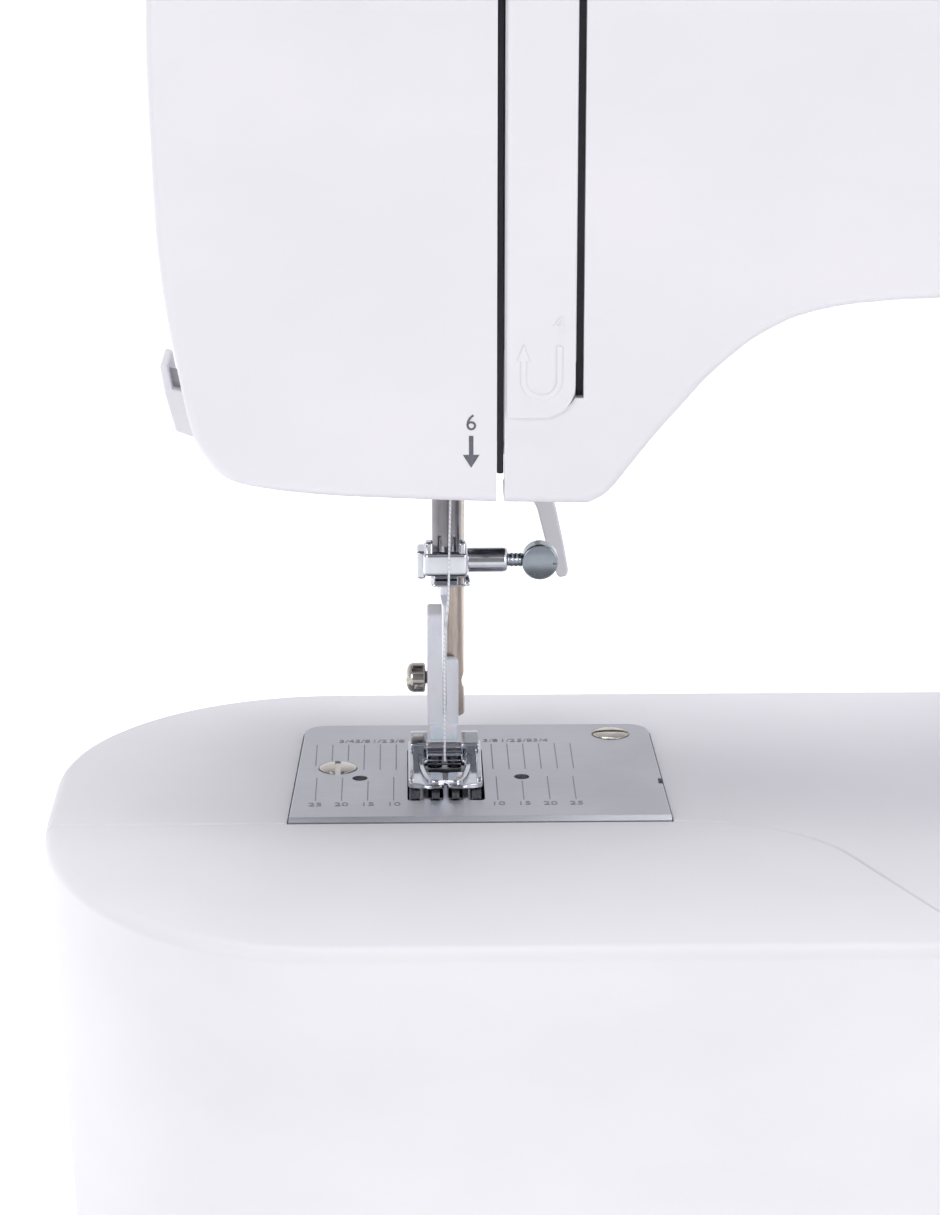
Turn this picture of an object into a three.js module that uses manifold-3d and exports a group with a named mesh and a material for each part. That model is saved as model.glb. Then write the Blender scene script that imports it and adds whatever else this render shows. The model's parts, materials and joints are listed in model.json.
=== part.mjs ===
// A free-arm sewing machine as an assembly of separate pieces, in millimetres, +Z up.
// Everything is drawn from the needle hole on the bed: X to the right, Y to the back, Z up from the bed's top.
// The last lines move it so that the origin is the middle of its footprint, at the feet.
import * as THREE from "three";
import { mergeVertices } from "three/addons/utils/BufferGeometryUtils.js";
import Module from "manifold-3d";

const wasm = await Module();
wasm.setup();

// ---- driving dimensions -------------------------------------------------------------------------
const GAP = 0.3; // between pieces that touch
const WALL = 2.5; // moulded covers
const BED_HEIGHT = 88; // feet to bed top
const FOOT_HEIGHT = 4;
const BED_LEFT = -76;
const BED_RIGHT = 283;
const BED_BACK = 53;
const BED_FRONT = -90;
const WHEEL_RIGHT = 306;
const CORNER = 12; // right-hand corners of the bed
const SEAM_Y = -27; // free arm's front wall
const ARM_BOTTOM = -56; // underside of the free arm
const BASE_LEFT = 97; // where the solid base begins, right of the free arm
const FLOOR_TOP = -80.4; // base plate
const HEAD_FRONT = -38;
const HEAD_BACK = 48;
const COVER_SEAM = 5; // between front and rear cover
const ARM_TOP = 204;
const PILLAR_LEFT = 155;
const PILLAR_RIGHT = 281;
const SHAFT = { y: 0, z: 150, r: 4 }; // main shaft
const LOWER = { y: 18, z: -32, r: 3.5 }; // lower shaft
const HOOK_Z = -32;
const NEEDLE_BAR_X = 0.5;
const PRESSER = { x: 1.1, y: 10, r: 2.95 };
const CLAMP_Z = 44.4; // middle of the needle clamp, needle near the top of its stroke
const SEG = 24;

// ---- shapes -------------------------------------------------------------------------------------
const toXZ = new THREE.Matrix4().set(1, 0, 0, 0, 0, 0, -1, 0, 0, 1, 0, 0, 0, 0, 0, 1);
const toYZ = new THREE.Matrix4().set(0, 0, 1, 0, 1, 0, 0, 0, 0, 1, 0, 0, 0, 0, 0, 1);

function solid(geometry) {
  const bare = geometry.clone();
  bare.deleteAttribute("normal");
  bare.deleteAttribute("uv");
  const merged = mergeVertices(bare, 1e-4);
  return new wasm.Manifold(new wasm.Mesh({
    numProp: 3,
    vertProperties: new Float32Array(merged.attributes.position.array),
    triVerts: new Uint32Array(merged.index.array),
  }));
}

function extruded(shape, depth, segments = 12) {
  const outline = Array.isArray(shape) ? new THREE.Shape(shape.map(([a, b]) => new THREE.Vector2(a, b))) : shape;
  return new THREE.ExtrudeGeometry(outline, { depth, bevelEnabled: false, curveSegments: segments });
}

const prismXY = (shape, z0, z1, segments) => solid(extruded(shape, z1 - z0, segments).translate(0, 0, z0));
const prismXZ = (shape, y0, y1, segments) =>
  solid(extruded(shape, y1 - y0, segments).applyMatrix4(toXZ).translate(0, y1, 0));
const prismYZ = (shape, x0, x1, segments) =>
  solid(extruded(shape, x1 - x0, segments).applyMatrix4(toYZ).translate(x0, 0, 0));

function box(x0, x1, y0, y1, z0, z1) {
  const geometry = new THREE.BoxGeometry(x1 - x0, y1 - y0, z1 - z0);
  return solid(geometry.translate((x0 + x1) / 2, (y0 + y1) / 2, (z0 + z1) / 2));
}

// A cylinder or cone from a0 to a1 along an axis, through (u, v) in the other two directions.
function rod(axis, r, a0, a1, u, v, segments = SEG, rEnd = r) {
  const geometry = new THREE.CylinderGeometry(rEnd, r, a1 - a0, segments).translate(0, (a0 + a1) / 2, 0);
  if (axis === "x") geometry.rotateZ(-Math.PI / 2).translate(0, u, v);
  if (axis === "y") geometry.translate(u, 0, v);
  if (axis === "z") geometry.rotateX(Math.PI / 2).translate(u, v, 0);
  return solid(geometry);
}

// A profile of [radius, height] points turned about an upright axis through (x, y).
function turned(profile, x, y, segments = SEG) {
  const geometry = new THREE.LatheGeometry(profile.map(([r, z]) => new THREE.Vector2(r, z)), segments);
  return solid(geometry.rotateX(Math.PI / 2).translate(x, y, 0));
}

function tubeAlong(points, r, steps, sides = 8) {
  const path = new THREE.CatmullRomCurve3(points.map(([x, y, z]) => new THREE.Vector3(x, y, z)), false, "centripetal");
  const section = new THREE.Shape();
  section.absarc(0, 0, r, 0, Math.PI * 2);
  const options = { steps, bevelEnabled: false, extrudePath: path, curveSegments: sides / 2 };
  return solid(new THREE.ExtrudeGeometry(section, options));
}

const joined = (...parts) => parts.reduce((whole, part) => whole.add(part));
const cut = (whole, ...tools) => tools.reduce((rest, tool) => rest.subtract(tool), whole);

// An outline moved inwards by a distance, corner by corner. The outline runs anticlockwise.
function inset(points, distance) {
  const n = points.length;
  return points.map(([x, y], i) => {
    const [px, py] = points[(i + n - 1) % n];
    const [nx, ny] = points[(i + 1) % n];
    const a = new THREE.Vector2(x - px, y - py).normalize();
    const b = new THREE.Vector2(nx - x, ny - y).normalize();
    const normal = new THREE.Vector2(-(a.y + b.y), a.x + b.x).normalize();
    const reach = distance / Math.max(0.3, normal.dot(new THREE.Vector2(-a.y, a.x)));
    return [x + normal.x * reach, y + normal.y * reach];
  });
}

// Points on an elliptical arc, from one angle to another in degrees.
function arc(cx, cy, rx, ry, from, to, steps) {
  return Array.from({ length: steps + 1 }, (_, i) => {
    const t = THREE.MathUtils.degToRad(from + ((to - from) * i) / steps);
    return [cx + rx * Math.cos(t), cy + ry * Math.sin(t)];
  });
}

const ring = (rOuter, rInner, y0, y1, x, z, segments = SEG) =>
  cut(rod("y", rOuter, y0, y1, x, z, segments), rod("y", rInner, y0 - 1, y1 + 1, x, z, segments));

// ---- colours and finishes -----------------------------------------------------------------------
const finish = (color, roughness, metalness) => new THREE.MeshStandardMaterial({ color, roughness, metalness });
const WHITE = () => finish("#eceaf0", 0.42, 0);
const BED_WHITE = () => finish("#dcdbe1", 0.5, 0);
const CHROME = () => finish("#c9ccd2", 0.12, 1);
const STEEL = () => finish("#a9aab0", 0.35, 1);
const NICKEL = () => finish("#978e88", 0.25, 1);
const CAST = () => finish("#b4b6ba", 0.55, 0.9);
const DARK = () => finish("#3a3b40", 0.5, 0.2);
const RUBBER = () => finish("#2b2b2e", 0.85, 0);
const CLEAR = () => finish("#d1d6e4", 0.3, 0);
const THREAD = () => finish("#f2f3f8", 0.8, 0);
const GREY = () => finish("#b9bac2", 0.45, 0);

const machine = new THREE.Group();

function add(name, body, material) {
  const data = body.getMesh();
  const geometry = new THREE.BufferGeometry();
  geometry.setAttribute("position", new THREE.BufferAttribute(new Float32Array(data.vertProperties), 3));
  geometry.setIndex(new THREE.BufferAttribute(new Uint32Array(data.triVerts), 1));
  geometry.computeVertexNormals();
  const mesh = new THREE.Mesh(geometry, material);
  mesh.name = name;
  machine.add(mesh);
}

// ---- outlines -----------------------------------------------------------------------------------
// The bed from above: long elliptical corners at the free end, small round ones under the pillar.
const bedOutline = [
  ...arc(-22, -20, 54, BED_FRONT * -1 - 20, 180, 270, 12),
  ...arc(BED_RIGHT - CORNER, BED_FRONT + CORNER, CORNER, CORNER, 270, 360, 4),
  ...arc(BED_RIGHT - CORNER, BED_BACK - CORNER, CORNER, CORNER, 0, 90, 4),
  ...arc(-22, 0, 54, BED_BACK, 90, 180, 12),
];

// Everything in front of the free arm and left of the seam that sweeps to the front edge.
function tableRegion(grow) {
  const y = SEAM_Y + grow;
  return [
    [-120, -140],
    [114.2 + grow, -140],
    ...arc(45, SEAM_Y - 32, 32 + grow, 32 + grow, 23, 90, 8),
    [-120, y],
  ];
}

// The upper body from the front: head, arm and pillar.
const headLeft = [
  [-28, ARM_TOP], ...arc(-28, 180, 24, 24, 105, 180, 5), [-52, 150], [-51.4, 120],
  [-50.5, 106], [-48.7, 93.6], [-45.9, 79], [-43.3, 73.5], [-39.8, 69.8], [-33.6, 67.9], [-19.2, 66.3], [8.7, 65.1],
];
const underArm = [
  [25.5, 64.8], [29.1, 66.8], [33.3, 72], [37.6, 77.5], [41.8, 82.3], [46, 87.2], [50.2, 91.2], [54.4, 94.6],
  [58.6, 97.1], [62.8, 99], [69.2, 100.6], [75.6, 101.4], [87.7, 102.1], [PILLAR_LEFT - 20, 102.5],
];
const bodyOutline = [
  ...headLeft, ...underArm,
  ...arc(PILLAR_LEFT - 20, 82.5, 20, 20, 75, 0, 5),
  [PILLAR_LEFT, GAP], [PILLAR_RIGHT, GAP],
  ...arc(PILLAR_RIGHT - 22, ARM_TOP - 22, 22, 22, 0, 90, 5),
];

// ---- base and bed -------------------------------------------------------------------------------
function base() {
  const plinth = cut(prismXY(inset(bedOutline, 3), -BED_HEIGHT + FOOT_HEIGHT, FLOOR_TOP),
    prismXY(tableRegion(3), -100, 0));
  add("base_plate", plinth, GREY());
  const corners = [[-52, 30], [-58, -14], [266, 36], [266, -72]];
  const foot = [[0, -BED_HEIGHT], [7, -BED_HEIGHT], [8, -87], [8, -84.3], [0, -84.3]];
  corners.forEach(([x, y], i) => add(`foot_${i + 1}`, turned(foot, x, y, 20), RUBBER()));
}

function bedCover() {
  const outer = cut(prismXY(bedOutline, -80, 0), prismXY(tableRegion(0), -100, 1),
    box(-90, BASE_LEFT - WALL, -30, 60, -100, ARM_BOTTOM));
  const hollow = cut(prismXY(inset(bedOutline, WALL), -100, -3), prismXY(tableRegion(WALL), -120, 1),
    box(-90, BASE_LEFT, -30, 60, -120, ARM_BOTTOM + WALL));
  const plateSeat = prismXY(plateOutline(GAP), -1.5, 1);
  const feedWell = box(-14, 14, -18, 16, -10, 1);
  const doorway = box(-24, 24, SEAM_Y - 1, SEAM_Y + WALL + 1, ARM_BOTTOM + WALL, -6.6);
  const pillarWell = box(160, 276, -30, 43, -5, 1);
  const inletHole = box(278, 290, 20, 44, -60, -36);
  const switchHole = box(278, 290, 22.7, 39.3, -30.5, -13.5);
  const screwHoles = plateScrews.map(([x, y]) => rod("z", 1.9, -10, 1, x, y, 12));
  add("bed_cover",
    cut(outer, hollow, plateSeat, feedWell, doorway, pillarWell, inletHole, switchHole, ...screwHoles), BED_WHITE());
}

function bobbinDoor() {
  add("bobbin_door", box(-23.6, 23.6, SEAM_Y, SEAM_Y + 2, -52.8, -7), BED_WHITE());
}

function extensionTable() {
  const region = (grow) => prismXY(tableRegion(grow), -120, 120);
  const outer = prismXY(bedOutline, -84, 0).intersect(region(-GAP));
  const inner = prismXY(inset(bedOutline, WALL), -81.5, -WALL).intersect(region(-GAP - WALL));
  const openBack = box(-66, 45, SEAM_Y - 5, SEAM_Y + 1, ARM_BOTTOM, -4);
  add("extension_table", cut(outer, inner, openBack), BED_WHITE());
}

// ---- needle plate and feed ----------------------------------------------------------------------
const plateScrews = [[-21, 2.5], [33.9, 22.5]];

function plateOutline(grow) {
  return [
    [-29.9 - grow, -26.6 - grow], [42.7 + grow, -26.6 - grow],
    ...arc(41.8 - 4.5, 28.7 - 4.5, 4.5 + grow, 4.5 + grow, 0, 90, 3),
    ...arc(-28.1 + 4.5, 28.7 - 4.5, 4.5 + grow, 4.5 + grow, 90, 180, 3),
  ];
}

const feedRows = [
  [-7, -4.6, [[-14.6, 11]]],
  [-3, -0.8, [[-14.6, -4], [4.2, 11]]],
  [0.9, 3, [[-14.6, -4], [4.2, 11]]],
  [4.7, 7.2, [[-14.6, 11]]],
];

function needlePlate() {
  const plate = prismXY(plateOutline(0), -1.2, 0.8);
  const slots = feedRows.flatMap(([x0, x1, runs]) =>
    runs.map(([y0, y1]) => box(x0 - 0.35, x1 + 0.35, y0 - 2.3, y1 + 2.3, -2, 2)));
  const needleHole = box(-3.3, 3.3, -1.1, 1.1, -2, 2);
  const notch = box(41.5, 44, -8, -5, -2, 2);
  const countersinks = plateScrews.map(([x, y]) => turned([[0, -2], [2, -2], [2, -0.9], [4.1, 0.9], [0, 0.9]], x, y, 20));
  const pinHoles = [[-16.6, -3.8], [15, -3.5]].map(([x, y]) => rod("z", 1.5, -2, 2, x, y, 12));
  const frontLip = prismYZ([[-28, 0], [-26.59, 0], [-25.6, 0.81], [-28, 0.81]], -40, 60);
  add("needle_plate", cut(plate, ...slots, needleHole, notch, ...countersinks, ...pinHoles, frontLip), STEEL());
  plateScrews.forEach(([x, y], i) => {
    const profile = [[0, -8], [1.5, -8], [1.5, -0.7], [3.7, 0.85], [2.8, 1.25], [0, 1.35]];
    const slot = i === 0 ? box(x - 0.5, x + 0.5, y - 5, y + 5, 0.6, 2) : box(x - 5, x + 5, y - 0.5, y + 0.5, 0.6, 2);
    add(`plate_screw_${i + 1}`, cut(turned(profile, x, y, 20), slot), NICKEL());
  });
}

function feedMechanism() {
  const frame = cut(box(-7.2, 7.4, -15, 11.4, -6, -3.6), box(-4, 4, -3.2, 3.2, -7, -3));
  const rows = feedRows.flatMap(([x0, x1, runs]) => runs.map(([y0, y1]) => box(x0, x1, y0, y1, -4, 1.1)));
  add("feed_dog", joined(frame, ...rows), DARK());
  const bar = joined(box(-12, 12, 6, 33, -9.5, -6.3), box(-12, -8.5, -12, 7, -9.5, -6.3),
    box(8.5, 12, -12, 7, -9.5, -6.3));
  add("feed_bar", bar, CAST());
}

// ---- hook and bobbin ----------------------------------------------------------------------------
function hookMechanism() {
  const z = HOOK_Z;
  const race = joined(
    ring(20.5, 17.6, 1.2, 8, 0, z, 32), ring(20.5, 14.6, -4.5, -1.2, 0, z, 32),
    box(-20.4, -18, -2, 30, z - 4, z + 4), box(18, 20.4, -2, 12, z - 4, z + 4));
  add("hook_race", cut(race, rod("y", 17.6, -0.9, 9, 0, z, 32)), STEEL());
  const crescent = new THREE.Shape();
  const start = THREE.MathUtils.degToRad(118);
  crescent.absarc(0, 0, 17, start, start + Math.PI * 1.62, false);
  crescent.absarc(0, 0, 9, start + Math.PI * 1.5, start + 0.25, true);
  const sickle = prismXZ(crescent, 1.6, 7, 28).translate(0, 0, z);
  const hub = joined(rod("y", 9.6, 1.6, 4.5, 0, z, SEG), rod("y", 3.5, 4, 26, 0, z, 16));
  add("hook", joined(sickle, hub), CHROME());
  const cup = cut(rod("y", 14, -18, -2, 0, z, 28), rod("y", 12.4, -16.2, -1, 0, z, 28));
  const latch = box(-3, 9, -19.4, -17.5, z - 2.2, z + 2.2);
  const pin = rod("y", 1.6, -17, -2.6, 0, z, 12);
  add("bobbin_case", joined(cup, latch, pin), CHROME());
  const spool = cut(joined(rod("y", 10.6, -14.6, -13.4, 0, z, SEG), rod("y", 8.6, -13.5, -5, 0, z, SEG),
    rod("y", 10.6, -5.1, -3.9, 0, z, SEG)), rod("y", 2.2, -20, 0, 0, z, 16));
  add("bobbin", spool, CLEAR());
}

// ---- drive --------------------------------------------------------------------------------------
const TIMING_X = 164;
const BELT_X = 262;
const MOTOR = { y: 5, z: -45, r: 22 };

function beltLoop(x0, x1, ends, thickness) {
  const hull = (grow) => {
    const circles = ends.map(([y, z, r]) => rod("x", r + grow, x0, x1, y, z, 28));
    return wasm.Manifold.hull(circles);
  };
  return cut(hull(thickness + GAP), hull(GAP).translate(-5, 0, 0), hull(GAP), hull(GAP).translate(5, 0, 0));
}

function drive() {
  const { y, z, r } = SHAFT;
  const crank = joined(rod("x", 17, 16, 22, y, z, 28), rod("x", 2.6, 13.9, 16.5, y, z + 13, 14));
  add("crank", crank, CAST());
  const pulley = (R, x0, py, pz) =>
    joined(rod("x", R, x0, x0 + 9, py, pz, 28), rod("x", R + 1.6, x0 - 1.2, x0 + 0.1, py, pz, 28));
  add("main_shaft", joined(rod("x", r, 22.3, 300, y, z, 20), pulley(12, TIMING_X, y, z)), STEEL());
  add("timing_belt", beltLoop(TIMING_X + 1, TIMING_X + 8, [[y, z, 12], [LOWER.y, LOWER.z, 12]], 2), RUBBER());
  add("lower_shaft",
    joined(rod("x", LOWER.r, 26, 176, LOWER.y, LOWER.z, 20), pulley(12, TIMING_X, LOWER.y, LOWER.z)), STEEL());
  const bore = rod("x", r + 0.02, BELT_X - 3, BELT_X + 12, y, z, 20);
  add("belt_pulley", pulley(24, BELT_X, y, z).subtract(bore), CAST());
  const motorPulley = joined(rod("x", 6, BELT_X, BELT_X + 9, MOTOR.y, MOTOR.z, 20),
    rod("x", 2.5, 250.4, BELT_X + 1, MOTOR.y, MOTOR.z, 12));
  add("motor_pulley", motorPulley, CAST());
  add("drive_belt", beltLoop(BELT_X + 1, BELT_X + 8, [[y, z, 24], [MOTOR.y, MOTOR.z, 6]], 2), RUBBER());
  const motor = joined(rod("x", MOTOR.r, 196, 244, MOTOR.y, MOTOR.z, 28), rod("x", 9, 190, 197, MOTOR.y, MOTOR.z, 20),
    rod("x", 7, 243, 250, MOTOR.y, MOTOR.z, 20), box(200, 240, -10, 20, FLOOR_TOP + GAP, -62));
  add("motor", motor, DARK());
}

function handwheel() {
  const { y, z, r } = SHAFT;
  const rim = cut(joined(rod("x", 34, 284, 300, y, z, 48), rod("x", 34, 300, 304, y, z, 48, 30)),
    rod("x", 26, 298, 310, y, z, 40), rod("x", r + 0.02, 280, 310, y, z, 20));
  add("handwheel", rim, WHITE());
  add("clutch_knob", joined(rod("x", 15, 298.4, 304, y, z, 28), rod("x", 15, 304, WHEEL_RIGHT, y, z, 28, 13))
    .subtract(rod("x", r + 0.3, 297, 300.3, y, z, 20)), GREY());
}

// ---- cast arm frame -----------------------------------------------------------------------------
const PLATE_Y = [36, 41];

function armFrame() {
  const outline = [
    [-32, 76], [20, 76], [30, 112], [178, 112], [178, -8], [24, -8], [24, -46], [262, -46], [262, 171],
    [188, 171], [188, 192], [-32, 192],
  ];
  const plate = prismXZ(outline, ...PLATE_Y);
  const back = PLATE_Y[0] + 1;
  const shaftLug = (x0) => cut(box(x0, x0 + 10, -8, back, SHAFT.z - 10, SHAFT.z + 10),
    rod("x", SHAFT.r + 0.3, x0 - 1, x0 + 11, SHAFT.y, SHAFT.z, 20));
  const lowerLug = (x0) => cut(box(x0, x0 + 8, 10, back, LOWER.z - 8, LOWER.z + 8),
    rod("x", LOWER.r + 0.3, x0 - 1, x0 + 9, LOWER.y, LOWER.z, 20));
  const barLug = (z0) => cut(box(-3.5, 6.5, 5.4, back, z0, z0 + 8),
    rod("z", PRESSER.r + 0.25, z0 - 1, z0 + 9, PRESSER.x, PRESSER.y, 20));
  const gateLug = cut(box(-15, -4, 14, back, 180, 192), rod("y", 3.3, 10, 40, -9.5, 186, 16));
  const takeUpLug = cut(box(24, 32, 14, back, 128, 143), rod("x", 2.8, 20, 40, 24, 135, 16));
  const hookLug = cut(box(-8, 30, 27, 40.9, HOOK_Z - 8, HOOK_Z + 8), rod("y", 3.8, 20, 35, 0, HOOK_Z, 16),
    box(-25, -7.99, 20, 50, HOOK_Z - 10, HOOK_Z + 10));
  const flange = box(180, 262, 30, 40.9, FLOOR_TOP + GAP, -45);
  add("arm_frame",
    joined(plate, shaftLug(34), shaftLug(236), lowerLug(60), lowerLug(142), barLug(84), barLug(150),
      gateLug, takeUpLug, hookLug, flange), CAST());
}

// ---- needle bar ---------------------------------------------------------------------------------
function needleBarGroup() {
  const x = NEEDLE_BAR_X;
  const lug = (z0) => cut(box(-11, 5.4, -5, 4.6, z0, z0 + 8), rod("z", 3.2, z0 - 1, z0 + 9, x, 0, 20));
  const gate = joined(box(-13, -8, -4, 4, 82, 191), lug(82), lug(140), rod("y", 3, 3.5, 33, -9.5, 186, 16));
  add("needle_gate", gate, CAST());
  add("needle_bar", rod("z", 2.9, 43.4, 186, x, 0, 20), CHROME());
  const collar = joined(rod("z", 4.6, 123, 131, x, 0, 20), rod("x", 2, 4, 11.6, 0, 127, 12));
  const link = prismYZ([[-4, 123], [4, 123], [3, 168], [-3, 168]], 11.3, 13.3);
  add("needle_bar_link", cut(joined(collar, link), rod("z", 2.92, 120, 135, x, 0, 20)), STEEL());
  clampGroup(x);
}

function clampGroup(x) {
  const block = joined(box(-4.1, 4.6, -5.5, 3.9, CLAMP_Z - 2.4, CLAMP_Z + 2.4), box(-5.3, -4, -3, 3, CLAMP_Z - 3.5, CLAMP_Z + 2),
    rod("x", 2.4, 4.5, 12.3, 0, 43.9, 16), box(-2.6, 4.9, -6, 1.5, 40.2, 41), box(-2, 2.6, -3, 1.5, 40.9, CLAMP_Z - 2.3));
  const bores = [rod("z", 2.92, 43.1, 60, x, 0, 20), rod("z", 1.05, 36, 43, 0, 0, 12), rod("x", 1.6, 9, 13, 0, 43.9, 14)];
  add("needle_clamp", cut(block, ...bores), CHROME());
  const screw = joined(rod("x", 1.45, 9.2, 15.6, 0, 43.9, 14), rod("y", 3.5, -2.2, 1.8, 18.4, 43.9, 24));
  add("needle_clamp_screw", cut(screw, box(20.5, 24, -3, 2, 43.5, 44.3)), NICKEL());
  const needle = turned([[0, 11], [0.16, 12.2], [0.45, 15.5], [0.45, 35.5], [1, 37.4], [1, 42.6], [0, 42.6]], 0, 0, 12);
  add("needle", needle.subtract(rod("y", 0.2, -2, 2, 0, 13.8, 8)), CHROME());
}

function takeUp() {
  const arm = prismYZ([[24, 131], [27, 135], [24, 139], [-22.6, 167], [-24, 163.3]], 9.3, 10.1);
  const eye = cut(rod("x", 3, 9.3, 10.1, -25, 165.5, 18), rod("x", 1.6, 8, 12, -25, 165.5, 14));
  const stud = rod("x", 2.5, 9.35, 31, 24, 135, 16);
  add("take_up_lever", joined(arm.subtract(rod("x", 1.6, 8, 12, -25, 165.5, 14)), eye, stud), CHROME());
}

// ---- presser bar --------------------------------------------------------------------------------
function presserGroup() {
  const { x, y, r } = PRESSER;
  const flat = prismXZ([[x - r - 1, 5], [-0.1, 5], [-0.1, 33], [x - r - 1, 41.6]], y - 5, y + 5);
  add("presser_bar", rod("z", r, 9.6, 186, x, y, 20).subtract(flat), NICKEL());
  const collar = joined(rod("z", 5.2, 102, 108, x, y, 20), box(x - 3, x + 3, y + 3, 27.5, 102, 108));
  add("presser_collar", collar.subtract(rod("z", r + 0.02, 100, 110, x, y, 20)), CAST());
  add("presser_spring", cut(rod("z", 4.7, 108.4, 149.6, x, y, 20), rod("z", 3.5, 100, 155, x, y, 20)), STEEL());
  const blade = prismXZ([[4.5, 74], [9, 68.5], [13.5, 71], [21.2, 52], [22.8, 46.7], [25.5, 33.2], [25, 32.2], [23.4, 31.9],
    [18.9, 46.8], [11, 60], [5, 71]], 28, 32);
  const hub = joined(rod("y", 5.5, 28, 32, 9, 74, 20), rod("y", 2.4, 31, 35.6, 9, 74, 14));
  add("presser_lifter", joined(blade, hub), WHITE());
}

function footGroup() {
  const { y } = PRESSER;
  const ankle = joined(box(-3.3, -0.4, 4.6, 13.2, 8.6, 31.7), box(-3.3, 2.8, 4.6, 6.6, 8.6, 22.4),
    box(-2.9, 2.6, 3.9, 7.4, 5.7, 9));
  add("ankle", cut(ankle, rod("x", 1.5, -5, 1, y, 17, 14)), CLEAR());
  const screw = joined(rod("x", 2.95, -7.5, -3.6, y, 17, 20), rod("x", 1.2, -3.7, -0.5, y, 17, 12));
  add("presser_screw", cut(screw, box(-8, -6.5, y - 4, y + 4, 16.55, 17.45)), NICKEL());
  const sole = [[-7.3, -12], [-6.2, -14], [-3.8, -14], [-3, -12.5], [-3, 2], [3, 2], [3, -12.5], [3.8, -14], [6.2, -14],
    [7.3, -12], [7.3, 9], [-7.3, 9]];
  const ears = [box(-6.5, -3.3, 2, 7, 2.4, 6.9), box(3, 6.1, 2, 7, 2.4, 6.9)];
  const plate = joined(prismXY(sole, 1.5, 2.7), ...ears, rod("x", 0.9, -4, 4, 4.5, 4.4, 12));
  const toeCurl = prismYZ([[-15, 1], [-11.5, 1.4], [-14.5, 2.4], [-15, 2.4]], -9, 9);
  const heelRise = prismYZ([[4.5, 1], [4.5, 1.5], [9.2, 2.55], [10, 2.5], [10, 1]], -9, 9);
  add("presser_foot", cut(plate, toeCurl, heelRise), CHROME());
}

// ---- threads ------------------------------------------------------------------------------------
function threads() {
  const front = -6.4;
  add("needle_thread", tubeAlong([[1.5, -7, 118], [1.2, -7, 66], [0.9, front, 48], [0.7, front, 38], [0.35, -3.4, 32.6],
    [0.08, -0.95, 29.6], [0.02, -0.82, 26], [0, -0.8, 14.4], [0, -0.8, 3.2]], 0.22, 24, 6), THREAD());
  const top = 208.2;
  add("upper_thread", tubeAlong([[203, 14.2, 196], [200, 4, top], [196.5, -19.4, top], [120, -19.4, top], [31, -19.4, top],
    [24.2, -21, 206.6], [23.65, -27, 203], [23.65, -33, 195], [23.65, -34, 120], [23.65, -34, 80], [21.5, -34, 73.5], [16.7, -34, 71],
    [11.8, -34, 73.5], [9.7, -34, 80], [9.7, -34, 112]], 0.25, 56, 6), THREAD());
}

// ---- covers -------------------------------------------------------------------------------------
const SPOOL_WELL = [199, 270, 8, 44];

function shell() {
  const outer = prismXZ(bodyOutline, HEAD_FRONT, HEAD_BACK);
  const inner = prismXZ(inset(bodyOutline, WALL), HEAD_FRONT + WALL, HEAD_BACK - WALL);
  const [x0, x1, y0, y1] = SPOOL_WELL;
  const wellSkin = box(x0 - WALL, x1 + WALL, y0 - WALL, y1 + WALL, 180 - WALL, 210);
  const openings = [
    box(x0, x1, y0, y1, 180, 210),
    box(-38, 25, -30, 44, 60, 72),
    box(160, 276, -32, 44, -5, 4),
    rod("x", 12, 276, 290, SHAFT.y, SHAFT.z, 24),
  ];
  return cut(outer, inner.subtract(wellSkin), ...openings);
}

function covers() {
  const whole = shell();
  const faceZone = box(-60, -42, -30, 44.3, 76, 178);
  const frontHalf = whole.intersect(box(-80, 300, -50, COVER_SEAM, -10, 220));
  const rearHalf = whole.intersect(box(-80, 300, COVER_SEAM + GAP, 60, -10, 220));
  const frontCuts = [
    faceZone,
    box(9, 10.4, -40, -30, 60, 190), box(9, 10.4, -36, -12, 60, 68),
    box(23.1, 24.5, -40, -30, 84.5, 210), box(23.1, 24.5, -40, -18, 193, 210),
    box(-18.6, -9.4, -40, -33, 157.5, 186.5),
    rod("y", 5.5, -40, -30, 218, 120, 20), rod("y", 5.5, -40, -30, 218, 68, 20),
    box(205, 231, -40, -30, 14, 38),
    box(238, 258, -22, -14, 195, 210),
  ];
  add("front_cover", cut(frontHalf, ...frontCuts), WHITE());
  const lifterSlot = box(2, 44, 26.5, 33.5, 60, 82);
  const lugs = [box(55, 59.6, 28, 40, 202, 214), box(190.4, 195, 28, 40, 202, 214)];
  const pinBore = rod("x", 2.3, 50, 200, 34, 209.5, 16);
  const screwHoles = rearScrews.map(([x, z]) => rod("y", 2, 40, 50, x, z, 12));
  add("rear_cover", cut(rearHalf, faceZone, lifterSlot, ...screwHoles).add(joined(...lugs).subtract(pinBore)), WHITE());
  const face = box(-60, -42, -29.7, 44, 76.3, 177.7);
  const skin = prismXZ(bodyOutline, -29.7, 44).subtract(prismXZ(inset(bodyOutline, WALL), -32, 46));
  add("face_cover", skin.intersect(face), WHITE());
}

const rearScrews = [[-24, 150], [110, 150], [220, 40]];

function threadCutter() {
  const hook = prismXZ([[-51.8, 88.9], [-50.9, 83], [-49.1, 76.3], [-45.1, 74.9], [-46.4, 79], [-47.4, 83.7], [-49.5, 84.2],
    [-50.3, 88.6]], -28, -14);
  add("thread_cutter", hook, WHITE());
}

function channelCover() {
  const outline = [[10.7, 81], ...arc(23 - 7, 81 + 7, 7, 7, 270, 360, 4), [23, 190], [10.7, 190]];
  add("thread_channel_cover", prismXZ(outline, HEAD_FRONT - 1.3, HEAD_FRONT - GAP), WHITE());
}

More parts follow.
